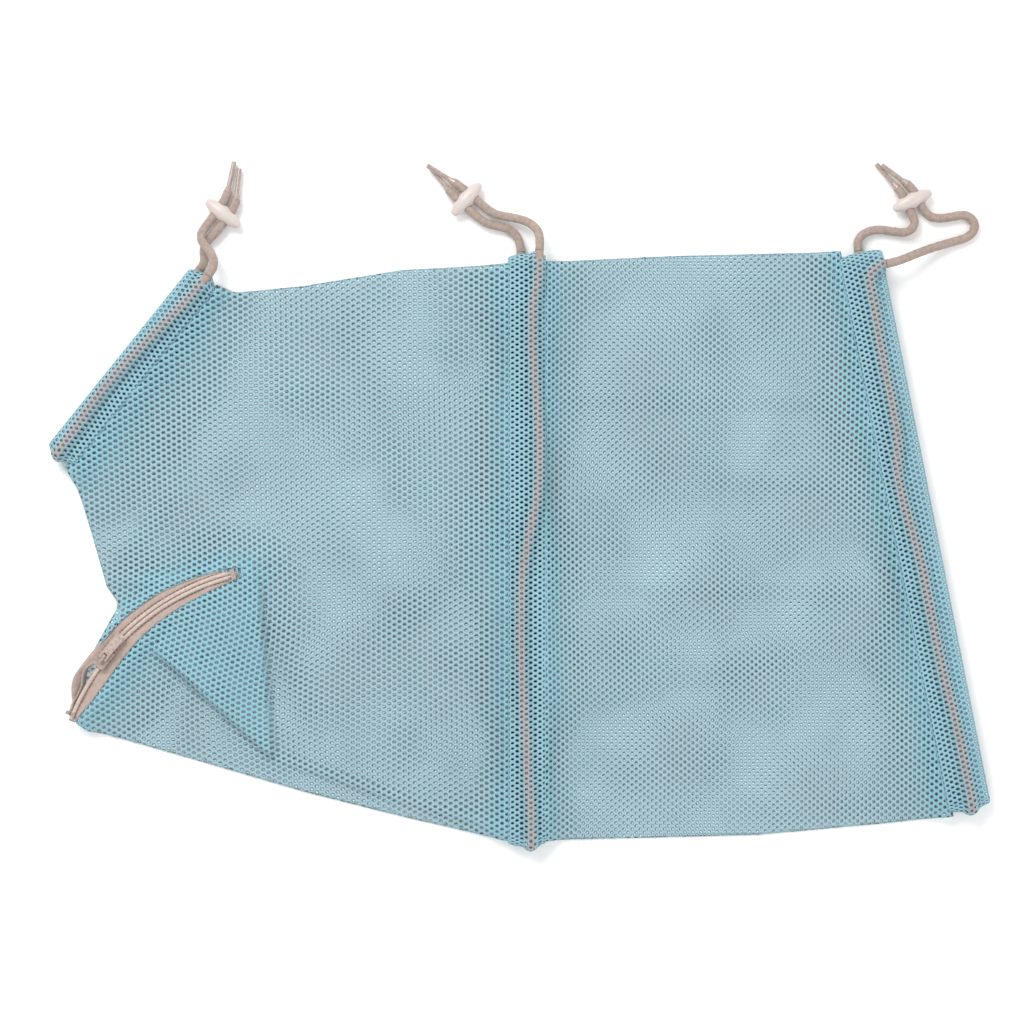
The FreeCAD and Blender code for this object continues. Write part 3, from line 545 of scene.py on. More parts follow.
# Soft creases: start, end, height and half width.
CREASES = [
    ((-147.0, -123.0), (-57.0, -153.0), 2.6, 3.0),
    ((-57.0, -153.0), (-10.0, -165.0), 2.2, 3.0),
    ((-240.0, -19.0), (-186.0, -17.0), 3.6, 4.5),
    ((-236.0, -14.0), (-205.0, 30.0), 1.4, 6.0),
    ((-150.0, -20.0), (-120.0, -110.0), 0.9, 7.0),
    ((25.0, 87.0), (205.0, 84.0), 0.5, 4.5),
    ((25.0, -25.0), (215.0, -27.0), 0.5, 4.5),
    ((118.0, 165.0), (124.0, -165.0), 0.25, 6.0),
    ((110.0, 40.0), (225.0, 34.0), 0.45, 4.5),
    ((40.0, -90.0), (190.0, -60.0), 0.5, 8.0),
    ((-90.0, -60.0), (-40.0, -20.0), 0.7, 10.0),
    ((-100.0, 130.0), (-60.0, 20.0), 0.5, 9.0),
]
SWELLS = 18
SWELL_HEIGHT = 0.22
LOWEST_TOP, HIGHEST_TOP = 1.15, 13.6
# Heights between which the cloth's colour deepens: painted light, the table's light painted in as
# paleness low down and fading out higher up.
CLEAR_SPAN = (2.0, 10.5)
noise = np.random.default_rng(7)
swell_angles = noise.uniform(0, math.pi, SWELLS)
swell_lengths = noise.uniform(30, 95, SWELLS)
swell_phases = noise.uniform(0, 2 * math.pi, SWELLS)


def smoothstep(low, high, value):
    share = np.clip((value - low) / (high - low), 0, 1)
    return share * share * (3 - 2 * share)


def along_segment(x, y, start, end):
    """Distance from a segment, and how far along it the nearest place is, from 0 to 1."""
    dx, dy = end[0] - start[0], end[1] - start[1]
    share = np.clip(((x - start[0]) * dx + (y - start[1]) * dy) / (dx * dx + dy * dy), 0, 1)
    return np.hypot(x - start[0] - share * dx, y - start[1] - share * dy), share


def zip_place(x, y):
    """How far outside the zip's arc a point is, and its angle about the zip's centre."""
    dx, dy = x - ZIP_CENTRE[0], y - ZIP_CENTRE[1]
    return np.hypot(dx, dy) - ZIP_RADIUS, np.degrees(np.arctan2(dy, dx)) % 360


def from_slot(x, y):
    """Distance from the slot's edge, negative in the slot, and the side it is on."""
    outside, angle = zip_place(x, y)
    near = np.where(outside > 0, np.interp(angle, SLOT_ANGLES, SLOT_OUTER),
                    np.interp(angle, SLOT_ANGLES, SLOT_INNER))
    beyond = np.maximum(np.maximum(SLOT_ANGLES[0] - angle, angle - SLOT_ANGLES[-1]), 0)
    beyond = beyond * ZIP_RADIUS * math.pi / 180
    gap = np.abs(outside) - near
    return np.where(beyond > 0, np.hypot(np.maximum(gap, 0), beyond), gap), outside


def slack_surface(x, y):
    """Height of the top layer: held up by casings and zip, and slack between them."""
    free = np.ones(x.shape)
    ripple = np.zeros(x.shape)
    for number, (start, end, reach) in enumerate(SEAMS.values()):
        distance, share = along_segment(x, y, start, end)
        length = math.dist(start, end)
        way = share * length
        uneven = reach * (1 + 0.3 * np.sin(way / 31 + 2 * number) + 0.18 * np.sin(way / 12.5))
        free *= 1 - np.exp(-(distance / uneven) ** 1.4)
        waves = way / 11.0 + 0.9 * np.sin(way / 17.0 + number)
        ripple += 0.5 * np.exp(-distance / 9.0) * np.sin(2 * math.pi * waves + number)
    gap, outside = from_slot(x, y)
    from_zip = np.maximum(gap, 0)
    reach = np.where(outside > 0, *ZIP_REACH)
    free *= 1 - np.exp(-(from_zip / reach) ** 1.5)
    height = SLACK_HEIGHT + (TOP_HEIGHT - SLACK_HEIGHT) * (1 - free)
    swell = np.zeros(x.shape)
    for angle_of, length, phase in zip(swell_angles, swell_lengths, swell_phases):
        way = x * math.cos(angle_of) + y * math.sin(angle_of)
        swell += np.sin(2 * math.pi * way / length + phase) / math.sqrt(SWELLS / 2)
    height += SWELL_HEIGHT * np.maximum(swell, 0) * free
    for start, end, tall, wide in CREASES:
        distance, share = along_segment(x, y, start, end)
        height += tall * np.exp(-(distance / wide) ** 2) * np.sin(math.pi * (0.1 + 0.8 * share))
    height += ripple
    # The flap stands above the cloth beside it.
    in_flap, _, _ = from_line(x, y, FLAP)
    prop = TOP_HEIGHT - FLAP_FALL * np.clip(from_zip / FLAP_LENGTH, 0, 1)
    cover = 1 - smoothstep(0, FLAP_HEM, -in_flap)
    height = height + (np.maximum(prop, height) - height) * cover
    near_zip = np.exp(-(from_zip / ZIP_HEM) ** 2)
    height = height * (1 - near_zip) + TOP_HEIGHT * near_zip
    return np.clip(height, LOWEST_TOP, HIGHEST_TOP)


def roll_share(x, y, outline):
    """From 0 at a sleeve's edge to 1 where its layers lie flat."""
    distance, _, _ = from_line(x, y, outline)
    return np.sqrt(1 - (1 - np.clip(distance / EDGE_ROLL, 0, 1)) ** 2)


def lay_layer(outline, upper):
    """A way to lay the top or the under layer of a sleeve, rolled into the other at its edge."""
    def place(x, y, lift):
        top = slack_surface(x, y)
        middle = (top + UNDER_HEIGHT) / 2
        flat = top if upper else UNDER_HEIGHT
        height = middle + (flat - middle) * roll_share(x, y, outline) + lift
        return np.stack([x, y, height], axis=1)
    return place


def turn_about(centre, degrees, stretch=1.0, reach=None):
    """A way to lay a net turned about a centre, or only turned within reach of that centre."""
    def lay(u, v):
        du, dv = u - centre[0], v - centre[1]
        fall = np.exp(-(du * du + dv * dv) / reach ** 2) if reach else np.ones(u.shape)
        turn = math.radians(degrees) * fall
        cos, sin = np.cos(turn) * stretch, np.sin(turn) * stretch
        return centre[0] + du * cos - dv * sin, centre[1] + du * sin + dv * cos
    return lay


def hold_front_top(x, y, band):
    """Keep the front top layer inside its outline and clear of the zip's slot."""
    x, y, inside = hold_inside(FRONT_OUTLINE, x, y, band)
    outside, angle = zip_place(x, y)
    inner = np.interp(angle, SLOT_ANGLES, SLOT_INNER, left=0, right=0)
    outer = np.interp(angle, SLOT_ANGLES, SLOT_OUTER, left=0, right=0)
    half_width = np.where(outside >= 0, outer, inner)
    reach = half_width + band
    in_slot = (np.abs(outside) < reach) & (half_width > 0)
    target = ZIP_RADIUS + np.where(outside >= 0, reach, -reach)
    turn = np.radians(angle)
    x = np.where(in_slot, ZIP_CENTRE[0] + target * np.cos(turn), x)
    y = np.where(in_slot, ZIP_CENTRE[1] + target * np.sin(turn), y)
    return x, y, inside & ~((np.abs(outside) < half_width) & (half_width > 0))


def mark(thing, name, values):
    """Keep a number for each point of a mesh, for its material to read."""
    layer = thing.data.attributes.new(name, "FLOAT", "POINT")
    layer.data.foreach_set("value", np.clip(values, 0, 1).astype(float))


def mark_lift(thing):
    """Mark how far cloth stands clear of the table, for its finish to deepen in colour there; the
    paleness low down is painted light from the table.
    """
    places = np.array([v.co[:] for v in thing.data.vertices]) / MM
    mark(thing, "clear", smoothstep(*CLEAR_SPAN, places[:, 2]))
    mark(thing, "pressed", np.zeros(len(places)))


def knit_polyester(name, near, far, over_cord):
    """Warp-knitted polyester: matt aqua with a soft sheen, thin enough to take colour from what
    lies under it. Painted pale where it lies on the table and deeper where it stands clear: the
    table's light through the yarn, painted in as colour. Greyed where it is pressed on a cord.
    The loops of yarn are 0.4 mm; they are drawn at 0.9 mm.
    """
    material, output = start_material(name)
    place = add(material, "ShaderNodeTexCoord")
    loops = add(material, "ShaderNodeTexNoise", {"Scale": 1.0 / (0.9 * MM), "Detail": 2.0},
                {"Vector": place.outputs["Object"]})
    patches = add(material, "ShaderNodeTexNoise", {"Scale": 1.0 / (60 * MM), "Detail": 3.0},
                  {"Vector": place.outputs["Object"]})
    clear = add(material, "ShaderNodeAttribute", {"attribute_name": "clear"})
    pressed = add(material, "ShaderNodeAttribute", {"attribute_name": "pressed"})
    base = add(material, "ShaderNodeMix", {"data_type": "RGBA", 6: rgb(near), 7: rgb(far)},
               {0: clear.outputs["Fac"]})
    greyed = add(material, "ShaderNodeMix", {"data_type": "RGBA", 7: rgb(over_cord)},
                 {0: pressed.outputs["Fac"], 6: base.outputs[2]})
    both = add(material, "ShaderNodeMath", {"operation": "MULTIPLY_ADD", 1: 0.7},
               {0: patches.outputs["Fac"], 2: loops.outputs["Fac"]})
    shade = add(material, "ShaderNodeMapRange", {1: 0.55, 2: 1.15, 3: 0.86, 4: 1.06},
                {0: both.outputs[0]})
    tint = add(material, "ShaderNodeVectorMath", {"operation": "SCALE"},
               {0: greyed.outputs[2], "Scale": shade.outputs[0]})
    bump = add(material, "ShaderNodeBump", {"Strength": 0.3, "Distance": 0.0002},
               {"Height": loops.outputs["Fac"]})
    shader = add(material, "ShaderNodeBsdfPrincipled",
                 {"Roughness": 0.75, "Sheen Weight": 0.1, "Sheen Roughness": 0.4,
                  "Specular IOR Level": 0.25},
                 {"Base Color": tint.outputs[0], "Normal": bump.outputs["Normal"]})
    return finish_material(material, output, shader)


# near is the cloth's colour with the table's light painted in as paleness; far is its deeper colour
# where it stands clear.
mesh_finish = knit_polyester("warp_knitted_polyester", "9dbdc8", "90bfcd", "a9a3a4")
# Real yarn lets through the light that the white table throws back, so the under layer looks
# paler. This finish is opaque, and it is made paler instead.
under_finish = knit_polyester("warp_knitted_polyester_backlit", "e4f2f6", "b9dbe5", "a9a3a4")


# --- Front and rear sleeves -----------------------------------------------------------------------
# Each sleeve is one tube of mesh cloth lying flat, so it shows two layers joined by rolled edges.
# The top layer lies slack on the under layer, and stands clear only near its casings and the zip.


def sleeve_layer(name, outline, upper, lay, stands_for, spacing=(COLUMN_SPACING, HOLE_SPACING),
                 hold=None):
    """One layer of a sleeve: its net, its marks, its finish and the solids it stands for."""
    xs, ys = zip(*outline)
    hold = hold or (lambda x, y, band: hold_inside(outline, x, y, band))
    layer = knit_net(name, (min(xs) - 8, min(ys) - 8), (max(xs) + 8, max(ys) + 8), hold,
                     lay_layer(outline, upper), lay, spacing)
    mark_lift(layer)
    return dress(layer, mesh_finish if upper else under_finish, "mesh", *stands_for)


def cut_area(outline):
    """Area inside an outline, in square metres."""
    sides = zip(outline, outline[1:] + outline[:1])
    return abs(sum(x0 * y1 - x1 * y0 for (x0, y0), (x1, y1) in sides)) / 2 * MM * MM


# Each sleeve laid flat: its width between casings and its length from back to belly.
FRONT_CUT = (0.2675, 0.3435)
REAR_CUT = (0.2465, 0.3503)
REAR_SPACING = (2.4, 3.8)
front_top = sleeve_layer("front_sleeve_top", FRONT_OUTLINE, True,
                         turn_about((-185.0, -62.0), -11.0, reach=55.0),
                         ("front_top_layer", "front_back_edge", "front_chest_edge",
                          "front_zip_edge_upper", "front_zip_edge_lower", "front_belly_edge"),
                         hold=hold_front_top)
front_under = sleeve_layer("front_sleeve_under", FRONT_OUTLINE, False,
                           turn_about((-130.0, 0.0), 1.7, stretch=1.012), ("front_bottom_layer",))
rear_top = sleeve_layer("rear_sleeve_top", REAR_OUTLINE, True,
                        turn_about((120.0, -60.0), 1.5, reach=120.0),
                        ("rear_top_layer", "rear_back_edge", "rear_belly_edge"), REAR_SPACING)
rear_under = sleeve_layer("rear_sleeve_under", REAR_OUTLINE, False,
                          turn_about((120.0, 0.0), -1.5, stretch=1.01), ("rear_bottom_layer",),
                          REAR_SPACING)
for top, under, cut, outline in ((front_top, front_under, FRONT_CUT, FRONT_OUTLINE),
                                 (rear_top, rear_under, REAR_CUT, REAR_OUTLINE)):
    cut_area(outline)
    cut_area(outline)

# --- Casings --------------------------------------------------------------------------------------
# Each casing is a strip of the same mesh folded into a flat tunnel round the whole bag. Its outer
# skin tents over the cord on the top side and lies flat on the table on the under side.

MIDDLE = 9.7
CASING_TOP = 18.9
CASING_SHOULDER = 14.6
CASING_SEAM = 12.7
CASING_FLOOR = 0.4
# The inner skin: its height on the top side, and on the under side away from and over the cord.
LINING_TOP = 12.4
LINING_LOW = 1.0
LINING_RISE = 5.6
CASING_SPACING = (2.7, 3.15)
CASING_BEND = 6.5
# How far from a cord's middle the cloth tents over it, and how far it is greyed by it.
TENT_REACH = 4.2
GREY_REACH = 2.9
PUCKER_LENGTH = 8.5
# The least depth of a casing's under side below its middle.
LEAST_HALF = 2.5
# Across a casing: the width of its rounded left edge and of the slope to its right one.
ROUND_EDGE, SLOPED_EDGE = 2.2, 6.0


def to_casing(casing, x, y):
    """Distances along and across a casing of points in the bag's frame, in millimetres."""
    (x0, y0), angle, _, _ = CASINGS[casing]
    turn = math.radians(angle)
    dx, dy = x - x0 / MM, y - y0 / MM
    return dx * math.cos(turn) + dy * math.sin(turn), dx * math.sin(turn) - dy * math.cos(turn)


def from_cord(casing, along, across, top):
    """Distance in plan from a casing's cord, on its top side or its under side."""
    line = loop_lines[casing] / MM
    line = line[(line[:, 2] > MIDDLE) == top]
    cord_along, cord_across = to_casing(casing, line[:, 0], line[:, 1])
    return np.hypot(along[:, None] - cord_along, across[:, None] - cord_across).min(axis=1)


def casing_skin(name, casing, outer):
    """One skin of a casing: the outer one, or the inner one that faces the bag's inside."""
    _, _, length, width = CASINGS[casing]
    length, width = length / MM, width / MM
    straight = length - 2 * MIDDLE
    bend = math.pi * CASING_BEND
    round_trip = 2 * (straight + bend)
    rounds = round(round_trip / CASING_SPACING[1])
    stretch = round_trip / (rounds * CASING_SPACING[1])
    phase = noise.uniform(0, 6.28)

    def where(v):
        """Distance along the casing, share of the turn to its under side, and side of a point."""
        way = np.mod(v * stretch, round_trip)
        on_top = way < straight
        back = (way >= straight) & (way < straight + bend)
        under = (way >= straight + bend) & (way < 2 * straight + bend)
        along = np.where(on_top, MIDDLE + way, np.where(back, length - MIDDLE, np.where(
            under, length - MIDDLE - (way - straight - bend), MIDDLE)))
        turned = np.where(back, (way - straight) / bend, np.where(
            on_top, 0.0, np.where(under, 1.0, 1 - (way - 2 * straight - bend) / bend)))
        return way, along, turned, on_top, back, under

    def place(u, v, lift):
        way, along, turned, on_top, back, under = where(v)
        angle = math.pi / 2 - math.pi * turned
        side = np.where(back, 1.0, -1.0)
        pucker = 0.5 * np.sin(2 * math.pi * (way / PUCKER_LENGTH
                                             + 0.6 * np.sin(way / 23 + phase)))
        rim = np.clip(np.minimum(u / ROUND_EDGE, (width - u) / SLOPED_EDGE), 0, 1)
        top_shoulder = np.sin(rim * math.pi / 2)
        top_crown = np.exp(-(from_cord(casing, along, u, True) / TENT_REACH) ** 4)
        under_crown = np.exp(-(from_cord(casing, along, u, False) / TENT_REACH) ** 4)
        inward = np.sin(math.pi * np.clip(u / width, 0, 1))
        if outer:
            slope = CASING_SHOULDER - 1.2 * u / width + 0.6 * np.sin(way / 19 + phase)
            top = CASING_SEAM + (slope - CASING_SEAM) * top_shoulder
            top = top + (CASING_TOP - top) * top_crown + pucker * inward * 0.5
            low = CASING_FLOOR + 0.5 * (1 - inward)
        else:
            top = LINING_TOP + 0.3 * pucker * inward
            low = LINING_LOW + LINING_RISE * under_crown + 0.3 * pucker * inward
        low = np.minimum(low, MIDDLE - LEAST_HALF)
        reach = (top - MIDDLE) * (1 - turned) + (MIDDLE - low) * turned
        turning = ~(on_top | under)
        rounding = 1 - 0.28 * (1 - inward) * turning
        reach = reach + lift
        x = along + side * reach * rounding * np.cos(angle) * turning
        z = MIDDLE + reach * np.sin(angle)
        x, y, z = in_casing(casing, x * MM, u * MM, z)
        return np.stack([x / MM, y / MM, z], axis=1)

    def hold(u, v, band):
        return np.clip(u, band, width - band), v, (u > 0) & (u < width)

    made = knit_net(name, (0.0, 0.0), (width, rounds * CASING_SPACING[1]), hold, place,
                    spacing=CASING_SPACING, rounds=rounds)
    places = np.array([v.co[:] for v in made.data.vertices]) / MM
    along, across = to_casing(casing, places[:, 0], places[:, 1])
    near_cord = np.exp(-(from_cord(casing, along, across, outer) / GREY_REACH) ** 4)
    facing = places[:, 2] > MIDDLE if outer else places[:, 2] < MIDDLE
    mark(made, "pressed", 0.8 * near_cord * facing)
    # The casings take one fixed share of the painted table light.
    mark(made, "clear", 0.75 * np.ones(len(places)))
    return made


for casing in CASINGS:
    outer_skin = casing_skin(f"{casing}_casing_outer_skin", casing, True)
    dress(outer_skin, mesh_finish, "casing_mesh", f"{casing}_casing_top",
          f"{casing}_casing_back_turn", f"{casing}_casing_belly_turn")
    inner_skin = casing_skin(f"{casing}_casing_inner_skin", casing, False)
    dress(inner_skin, mesh_finish, "casing_mesh", f"{casing}_casing_bottom")

# --- Zip tapes ------------------------------------------------------------------------------------
# Two beige woven polyester tapes, sewn under the edges of the slot. Each folds over its row of
# coil at the middle, so the closed zip shows two smooth ribs. Past the slider the outer tape leans
# into the open mouth.

TAPE_LEVEL = 12.1
RIB_HEIGHT = 1.8
RIB_NEAR = 0.12
RIB_FAR = 2.5
SLIDER_AT = 141.7
TAPE_FROM, TAPE_TO = 100.9, 159.0
# The outer tape past the slider: its outer edge and its inner edge, each x, y and height.
MOUTH_OUTER = [
    (-250.5, -60.6, 12.1), (-252.6, -63.0, 12.1), (-256.0, -67.4, 12.0), (-258.9, -71.2, 11.8),
    (-261.0, -74.2, 11.6), (-262.6, -77.4, 11.4), (-263.6, -82.3, 11.0), (-263.5, -87.0, 11.0),
    (-263.2, -92.2, 11.0), (-265.2, -97.0, 11.2), (-264.6, -100.6, 10.0)]
MOUTH_INNER = [
    (-245.4, -65.6, 12.1), (-247.6, -67.4, 11.4), (-251.0, -69.4, 9.5), (-254.2, -71.6, 7.5),
    (-255.4, -74.6, 5.8), (-256.0, -78.0, 4.8), (-256.6, -82.3, 4.4), (-258.6, -87.0, 5.0),
    (-261.2, -92.6, 7.6), (-262.4, -97.2, 11.0), (-263.2, -100.9, 10.6)]


def on_arc(offset, angle, height):
    """A point by its distance outside the zip's arc and its angle, in millimetres."""
    turn = np.radians(angle)
    radius = ZIP_RADIUS + offset
    return np.stack(np.broadcast_arrays(ZIP_CENTRE[0] + radius * np.cos(turn),
                                        ZIP_CENTRE[1] + radius * np.sin(turn), height), axis=-1)


def rounded_run(points, count):
    """Evenly numbered places on the smooth line through a run of points."""
    points = np.array(points)
    padded = np.concatenate([points[:1] * 2 - points[1:2], points, points[-1:] * 2 - points[-2:-1]])
    places = []
    for at in np.linspace(0, len(points) - 1, count):
        first = min(int(at), len(points) - 2)
        part = at - first
        a, b, c, d = padded[first:first + 4]
        places.append(0.5 * (2 * b + (c - a) * part + (2 * a - 5 * b + 4 * c - d) * part ** 2
                             + (3 * b - a - 3 * c + d) * part ** 3))
    return np.array(places)


def ribbon(name, rows, thickness):
    """A closed strip from rows of points across it, with an underside a thickness below."""
    stations, across, _ = rows.shape
    under = rows - np.array([0, 0, thickness])
    points = np.concatenate([rows.reshape(-1, 3), under.reshape(-1, 3)])
    lower = stations * across
    faces = []
    for station in range(stations - 1):
        for place in range(across - 1):
            a = station * across + place
            b = a + across
            faces.append((a, a + 1, b + 1, b))
            faces.append((lower + a, lower + b, lower + b + 1, lower + a + 1))
        for place, flip in ((0, False), (across - 1, True)):
            a = station * across + place
            side = (a, a + across, lower + a + across, lower + a)
            faces.append(side[::-1] if flip else side)
    for start, flip in ((0, True), ((stations - 1) * across, False)):
        for place in range(across - 1):
            a = start + place
            end = (a, a + 1, lower + a + 1, lower + a)
            faces.append(end[::-1] if flip else end)
    return make_object(name, points * MM, faces)


def weave_tape():
    """Woven polyester tape: matt beige with fine ribs across, 0.5 mm apart, drawn at 0.8 mm."""
    material, output = start_material("woven_polyester_tape")
    place = add(material, "ShaderNodeTexCoord")
    ribs = add(material, "ShaderNodeTexWave",
               {"wave_type": "BANDS", "bands_direction": "DIAGONAL",
                "Scale": 2 * math.pi / 20 / (0.8 * MM), "Distortion": 1.5, "Detail": 2.0},
               {"Vector": place.outputs["Object"]})
    fibres = add(material, "ShaderNodeTexNoise", {"Scale": 1.0 / (2.5 * MM), "Detail": 4.0},
                 {"Vector": place.outputs["Object"]})
    both = add(material, "ShaderNodeMath", {"operation": "MULTIPLY_ADD", 1: 0.3},
               {0: ribs.outputs["Fac"], 2: fibres.outputs["Fac"]})
    tint = add(material, "ShaderNodeValToRGB", links={"Fac": both.outputs[0]},
               stops=((0.4, "a9968d"), (0.9, "bfaca3")))
    bump = add(material, "ShaderNodeBump", {"Strength": 0.4, "Distance": 0.0002},
               {"Height": both.outputs[0]})
    shader = add(material, "ShaderNodeBsdfPrincipled",
                 {"Roughness": 0.7, "Sheen Weight": 0.15, "Sheen Roughness": 0.4,
                  "Specular IOR Level": 0.3},
                 {"Base Color": tint.outputs["Color"], "Normal": bump.outputs["Normal"]})
    return finish_material(material, output, shader)


tape_finish = weave_tape()
STATIONS = 150
CLOSED_STATIONS = 100
LIP_STATIONS = 60
CLOSED_TO = SLIDER_AT + 0.2
angles = np.linspace(TAPE_FROM, TAPE_TO, STATIONS)[:, None]
TAPE_SHARES = np.array([1.0, 0.8, 0.6, 0.45, 0.38, 0.33, 0.0])[None, :]
RIB_GROOVE = np.array([0.0, 0.0, 0.0, 0.0, -0.35, -0.2, 0.0])[None, :]
TAPE_TUCK = 0.9
TAPE_THICKNESS = 0.45


def tape_rows(angles, side, slot, long_wave, short_wave):
    """Rows across a tape from under the slot's edge to its rib, with the cloth's slight sag."""
    reach = np.interp(angles, SLOT_ANGLES, slot) + TAPE_TUCK
    offsets = side * np.maximum(reach * TAPE_SHARES, RIB_NEAR + 0.02)
    sag = 0.25 * np.sin(angles / long_wave) + 0.15 * np.sin(angles / short_wave)
    heights = TAPE_LEVEL + RIB_GROOVE + sag * np.sin(math.pi * TAPE_SHARES) * 0.8
    return on_arc(offsets, angles, heights)


inner_tape = ribbon("zip_inner_tape_cloth",
                    tape_rows(angles, -1, SLOT_INNER, 1.9, 0.7)[:, ::-1], TAPE_THICKNESS)
dress(inner_tape, tape_finish, "zip_tape", "zip_tape_inner")

closed = np.linspace(TAPE_FROM, CLOSED_TO, CLOSED_STATIONS)[:, None]
closed_rows = tape_rows(closed, 1, SLOT_OUTER, 1.7, 0.8)
lip_outer = rounded_run(MOUTH_OUTER, LIP_STATIONS)[1:, None, :]
lip_inner = rounded_run(MOUTH_INNER, LIP_STATIONS)[1:, None, :]
lip_rows = lip_inner + (lip_outer - lip_inner) * TAPE_SHARES[:, :, None]
lip_rows[:, :, 2] += 1.1 * np.sin(math.pi * TAPE_SHARES)
outer_tape = ribbon("zip_outer_tape_cloth", np.concatenate([closed_rows, lip_rows]),
                    TAPE_THICKNESS)
dress(outer_tape, tape_finish, "zip_tape", "zip_tape_outer")

# --- Zip ribs -------------------------------------------------------------------------------------
# The folded edge of each tape, drawn tight over the coil, with a line of lockstitch at its foot.

RIB_SIDES = np.radians([180, 160, 135, 110, 90, 70, 45, 20, 0])
RIB_SPREAD = (RIB_NEAR + RIB_FAR) / 2 + (RIB_FAR - RIB_NEAR) / 2 * np.cos(RIB_SIDES)
RIB_RISE = RIB_HEIGHT * np.sin(RIB_SIDES) ** 0.75
RIB_THICKNESS = 0.3
RIB_FROM, RIB_TO = TAPE_FROM + 2.2, 158.6
RIB_LIP_STATIONS = 51


def satin_fold():
    """Tape drawn tight over the coil: smoother than flat tape, and painted paler, a painted
    highlight for the light that the raised rib catches, with the coil's turns just felt through it,
    1.3 mm apart."""
    material, output = start_material("polyester_tape_over_coil")
    turns, tint = mottle(material, 1.3, 1.0, ((0.35, "bda99f"), (0.65, "cfbdb4")))
    bump = add(material, "ShaderNodeBump", {"Strength": 0.25, "Distance": 0.0002},
               {"Height": turns})
    shader = add(material, "ShaderNodeBsdfPrincipled",
                 {"Roughness": 0.5, "Sheen Weight": 0.1, "Specular IOR Level": 0.45},
                 {"Base Color": tint, "Normal": bump.outputs["Normal"]})
    return finish_material(material, output, shader)


def sew_thread():
    """Spun polyester sewing thread, a darker beige, matt."""
    material, output = start_material("spun_polyester_thread")
    _, tint = mottle(material, 0.6, 2.0, ((0.0, "7d6b62"), (1.0, "9b877d")))
    shader = add(material, "ShaderNodeBsdfPrincipled",
                 {"Roughness": 0.85, "Specular IOR Level": 0.3}, {"Base Color": tint})
    return finish_material(material, output, shader)


def rib_rows(angles, side):
    """Rows of points over a rib on one side of the zip's middle line."""
    taper = np.clip((angles - TAPE_FROM - 2.0) / 3, 0.3, 1) ** 0.6
    return on_arc(side * RIB_SPREAD * taper, angles, TAPE_LEVEL - 0.1 + RIB_RISE * taper)


# The ribs' paler colour is a painted highlight on the raised fold of tape.
lit_rib_finish = satin_fold()
thread_finish = sew_thread()
inner_rows = rib_rows(np.linspace(RIB_FROM, RIB_TO, STATIONS)[:, None], -1)
inner_rib = ribbon("zip_inner_rib", inner_rows[:, ::-1], RIB_THICKNESS)
dress(inner_rib, lit_rib_finish, "zip_coil", "zip_coil_inner")
outer_rows = rib_rows(np.linspace(RIB_FROM, CLOSED_TO, CLOSED_STATIONS)[:, None], 1)
along_lip = lip_inner[:RIB_LIP_STATIONS]
away = (lip_outer - lip_inner)[:RIB_LIP_STATIONS]
away = away / np.linalg.norm(away[:, :, :2], axis=2)[:, :, None]
open_rows = along_lip + away * RIB_SPREAD[None, :, None]
open_rows[:, :, 2] += RIB_RISE - 0.1
outer_rib = ribbon("zip_outer_rib", np.concatenate([outer_rows, open_rows]), RIB_THICKNESS)
dress(outer_rib, lit_rib_finish, "zip_coil", "zip_coil_outer")

# --- Zip stitching, stops, slider and pull --------------------------------------------------------
# Lockstitch 2 mm long holds the folds at the foot of both ribs. The stops are pressed metal. The
# slider is a die-cast zinc body with a hinged pull, enamelled to match the tape.

STITCH_LENGTH = 2.0
STITCH_GAP = 0.5
THREAD_RADIUS = 0.24
STITCHES_FROM, STITCHES_TO = 105.5, 157.5
STITCH_OFFSET = RIB_FAR + 0.45


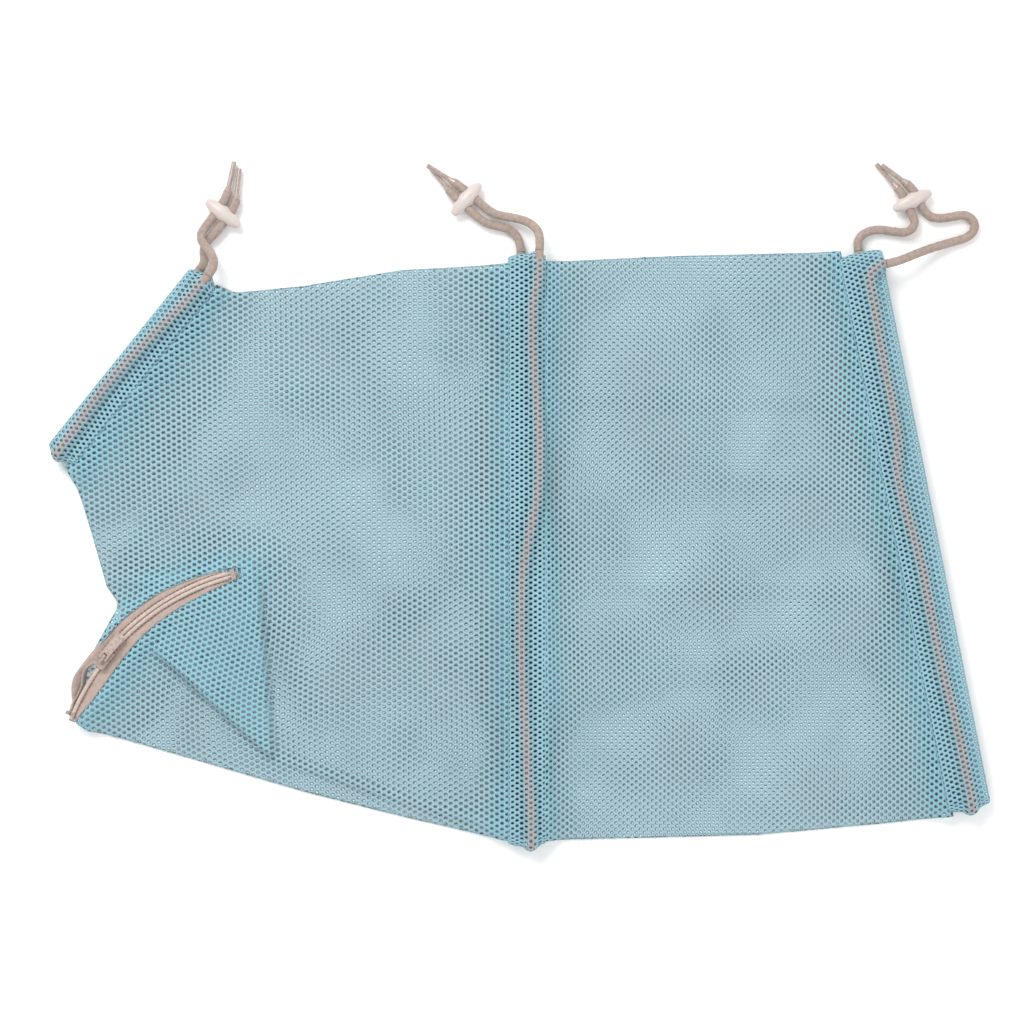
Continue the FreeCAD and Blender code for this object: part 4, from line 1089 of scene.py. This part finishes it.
def stitch_line(name, offset, first, last):
    """A row of stitches along the zip, each a short rounded bar that dips at both ends."""
    points, faces = [], []
    step = (STITCH_LENGTH + STITCH_GAP) / (ZIP_RADIUS + offset) * 180 / math.pi
    length = STITCH_LENGTH / (ZIP_RADIUS + offset) * 180 / math.pi
    ring = np.linspace(0, 2 * math.pi, 6, endpoint=False)
    for start in np.arange(first, last, step):
        base = len(points)
        for share in (0.0, 0.15, 0.5, 0.85, 1.0):
            size = 0.35 if share in (0.0, 1.0) else 1.0
            height = TAPE_LEVEL - 0.05 + 0.22 * math.sin(math.pi * share)
            for turn in ring:
                points.append(on_arc(offset + THREAD_RADIUS * size * math.cos(turn),
                                     start + length * share,
                                     height + THREAD_RADIUS * size * math.sin(turn)))
        for section in range(4):
            for side in range(6):
                after = (side + 1) % 6
                a = base + section * 6
                faces.append((a + side, a + 6 + side, a + 6 + after, a + after))
        faces.append(tuple(base + side for side in range(6)))
        faces.append(tuple(base + 24 + side for side in reversed(range(6))))
    made = make_object(name, np.array(points) * MM, faces)
    return dress(made, thread_finish, "zip_tape")


stitch_line("zip_inner_stitching", -STITCH_OFFSET, STITCHES_FROM, STITCHES_TO)
stitch_line("zip_outer_stitching", STITCH_OFFSET, STITCHES_FROM, SLIDER_AT - 1.5)


def press_stop():
    """Pressed aluminium with a worn, brushed face."""
    material, output = start_material("pressed_aluminium")
    scratches, tint = mottle(material, 0.8, 3.0, ((0.0, "9c8f8b"), (1.0, "d8cfcb")))
    bump = add(material, "ShaderNodeBump", {"Strength": 0.3, "Distance": 0.0001},
               {"Height": scratches})
    shader = add(material, "ShaderNodeBsdfPrincipled", {"Metallic": 1.0, "Roughness": 0.4},
                 {"Base Color": tint, "Normal": bump.outputs["Normal"]})
    return finish_material(material, output, shader)


def enamel_zinc(name, low, high):
    """Beige stoving enamel on die-cast zinc: a semi-gloss skin, worn greyer in patches."""
    material, output = start_material(name)
    wear, tint = mottle(material, 1.6, 4.0, ((0.3, low), (0.65, high)))
    bump = add(material, "ShaderNodeBump", {"Strength": 0.15, "Distance": 0.0001}, {"Height": wear})
    shader = add(material, "ShaderNodeBsdfPrincipled",
                 {"Roughness": 0.38, "Coat Weight": 0.3, "Coat Roughness": 0.2},
                 {"Base Color": tint, "Normal": bump.outputs["Normal"]})
    return finish_material(material, output, shader)


stop_finish = press_stop()
slider_finish = enamel_zinc("enamelled_zinc_slider", "93817a", "b4a39a")
# The pull takes a lighter copy of the slider's enamel: painted light on the raised tab.
lit_pull_finish = enamel_zinc("enamelled_zinc_pull_lit", "a08d85", "c4b2a9")
for name, finish in (("zip_bottom_stop", stop_finish), ("zip_top_stops", stop_finish),
                     ("zip_slider", slider_finish), ("zip_pull_tab", lit_pull_finish)):
    nodes[name].material_slots[0].material = finish
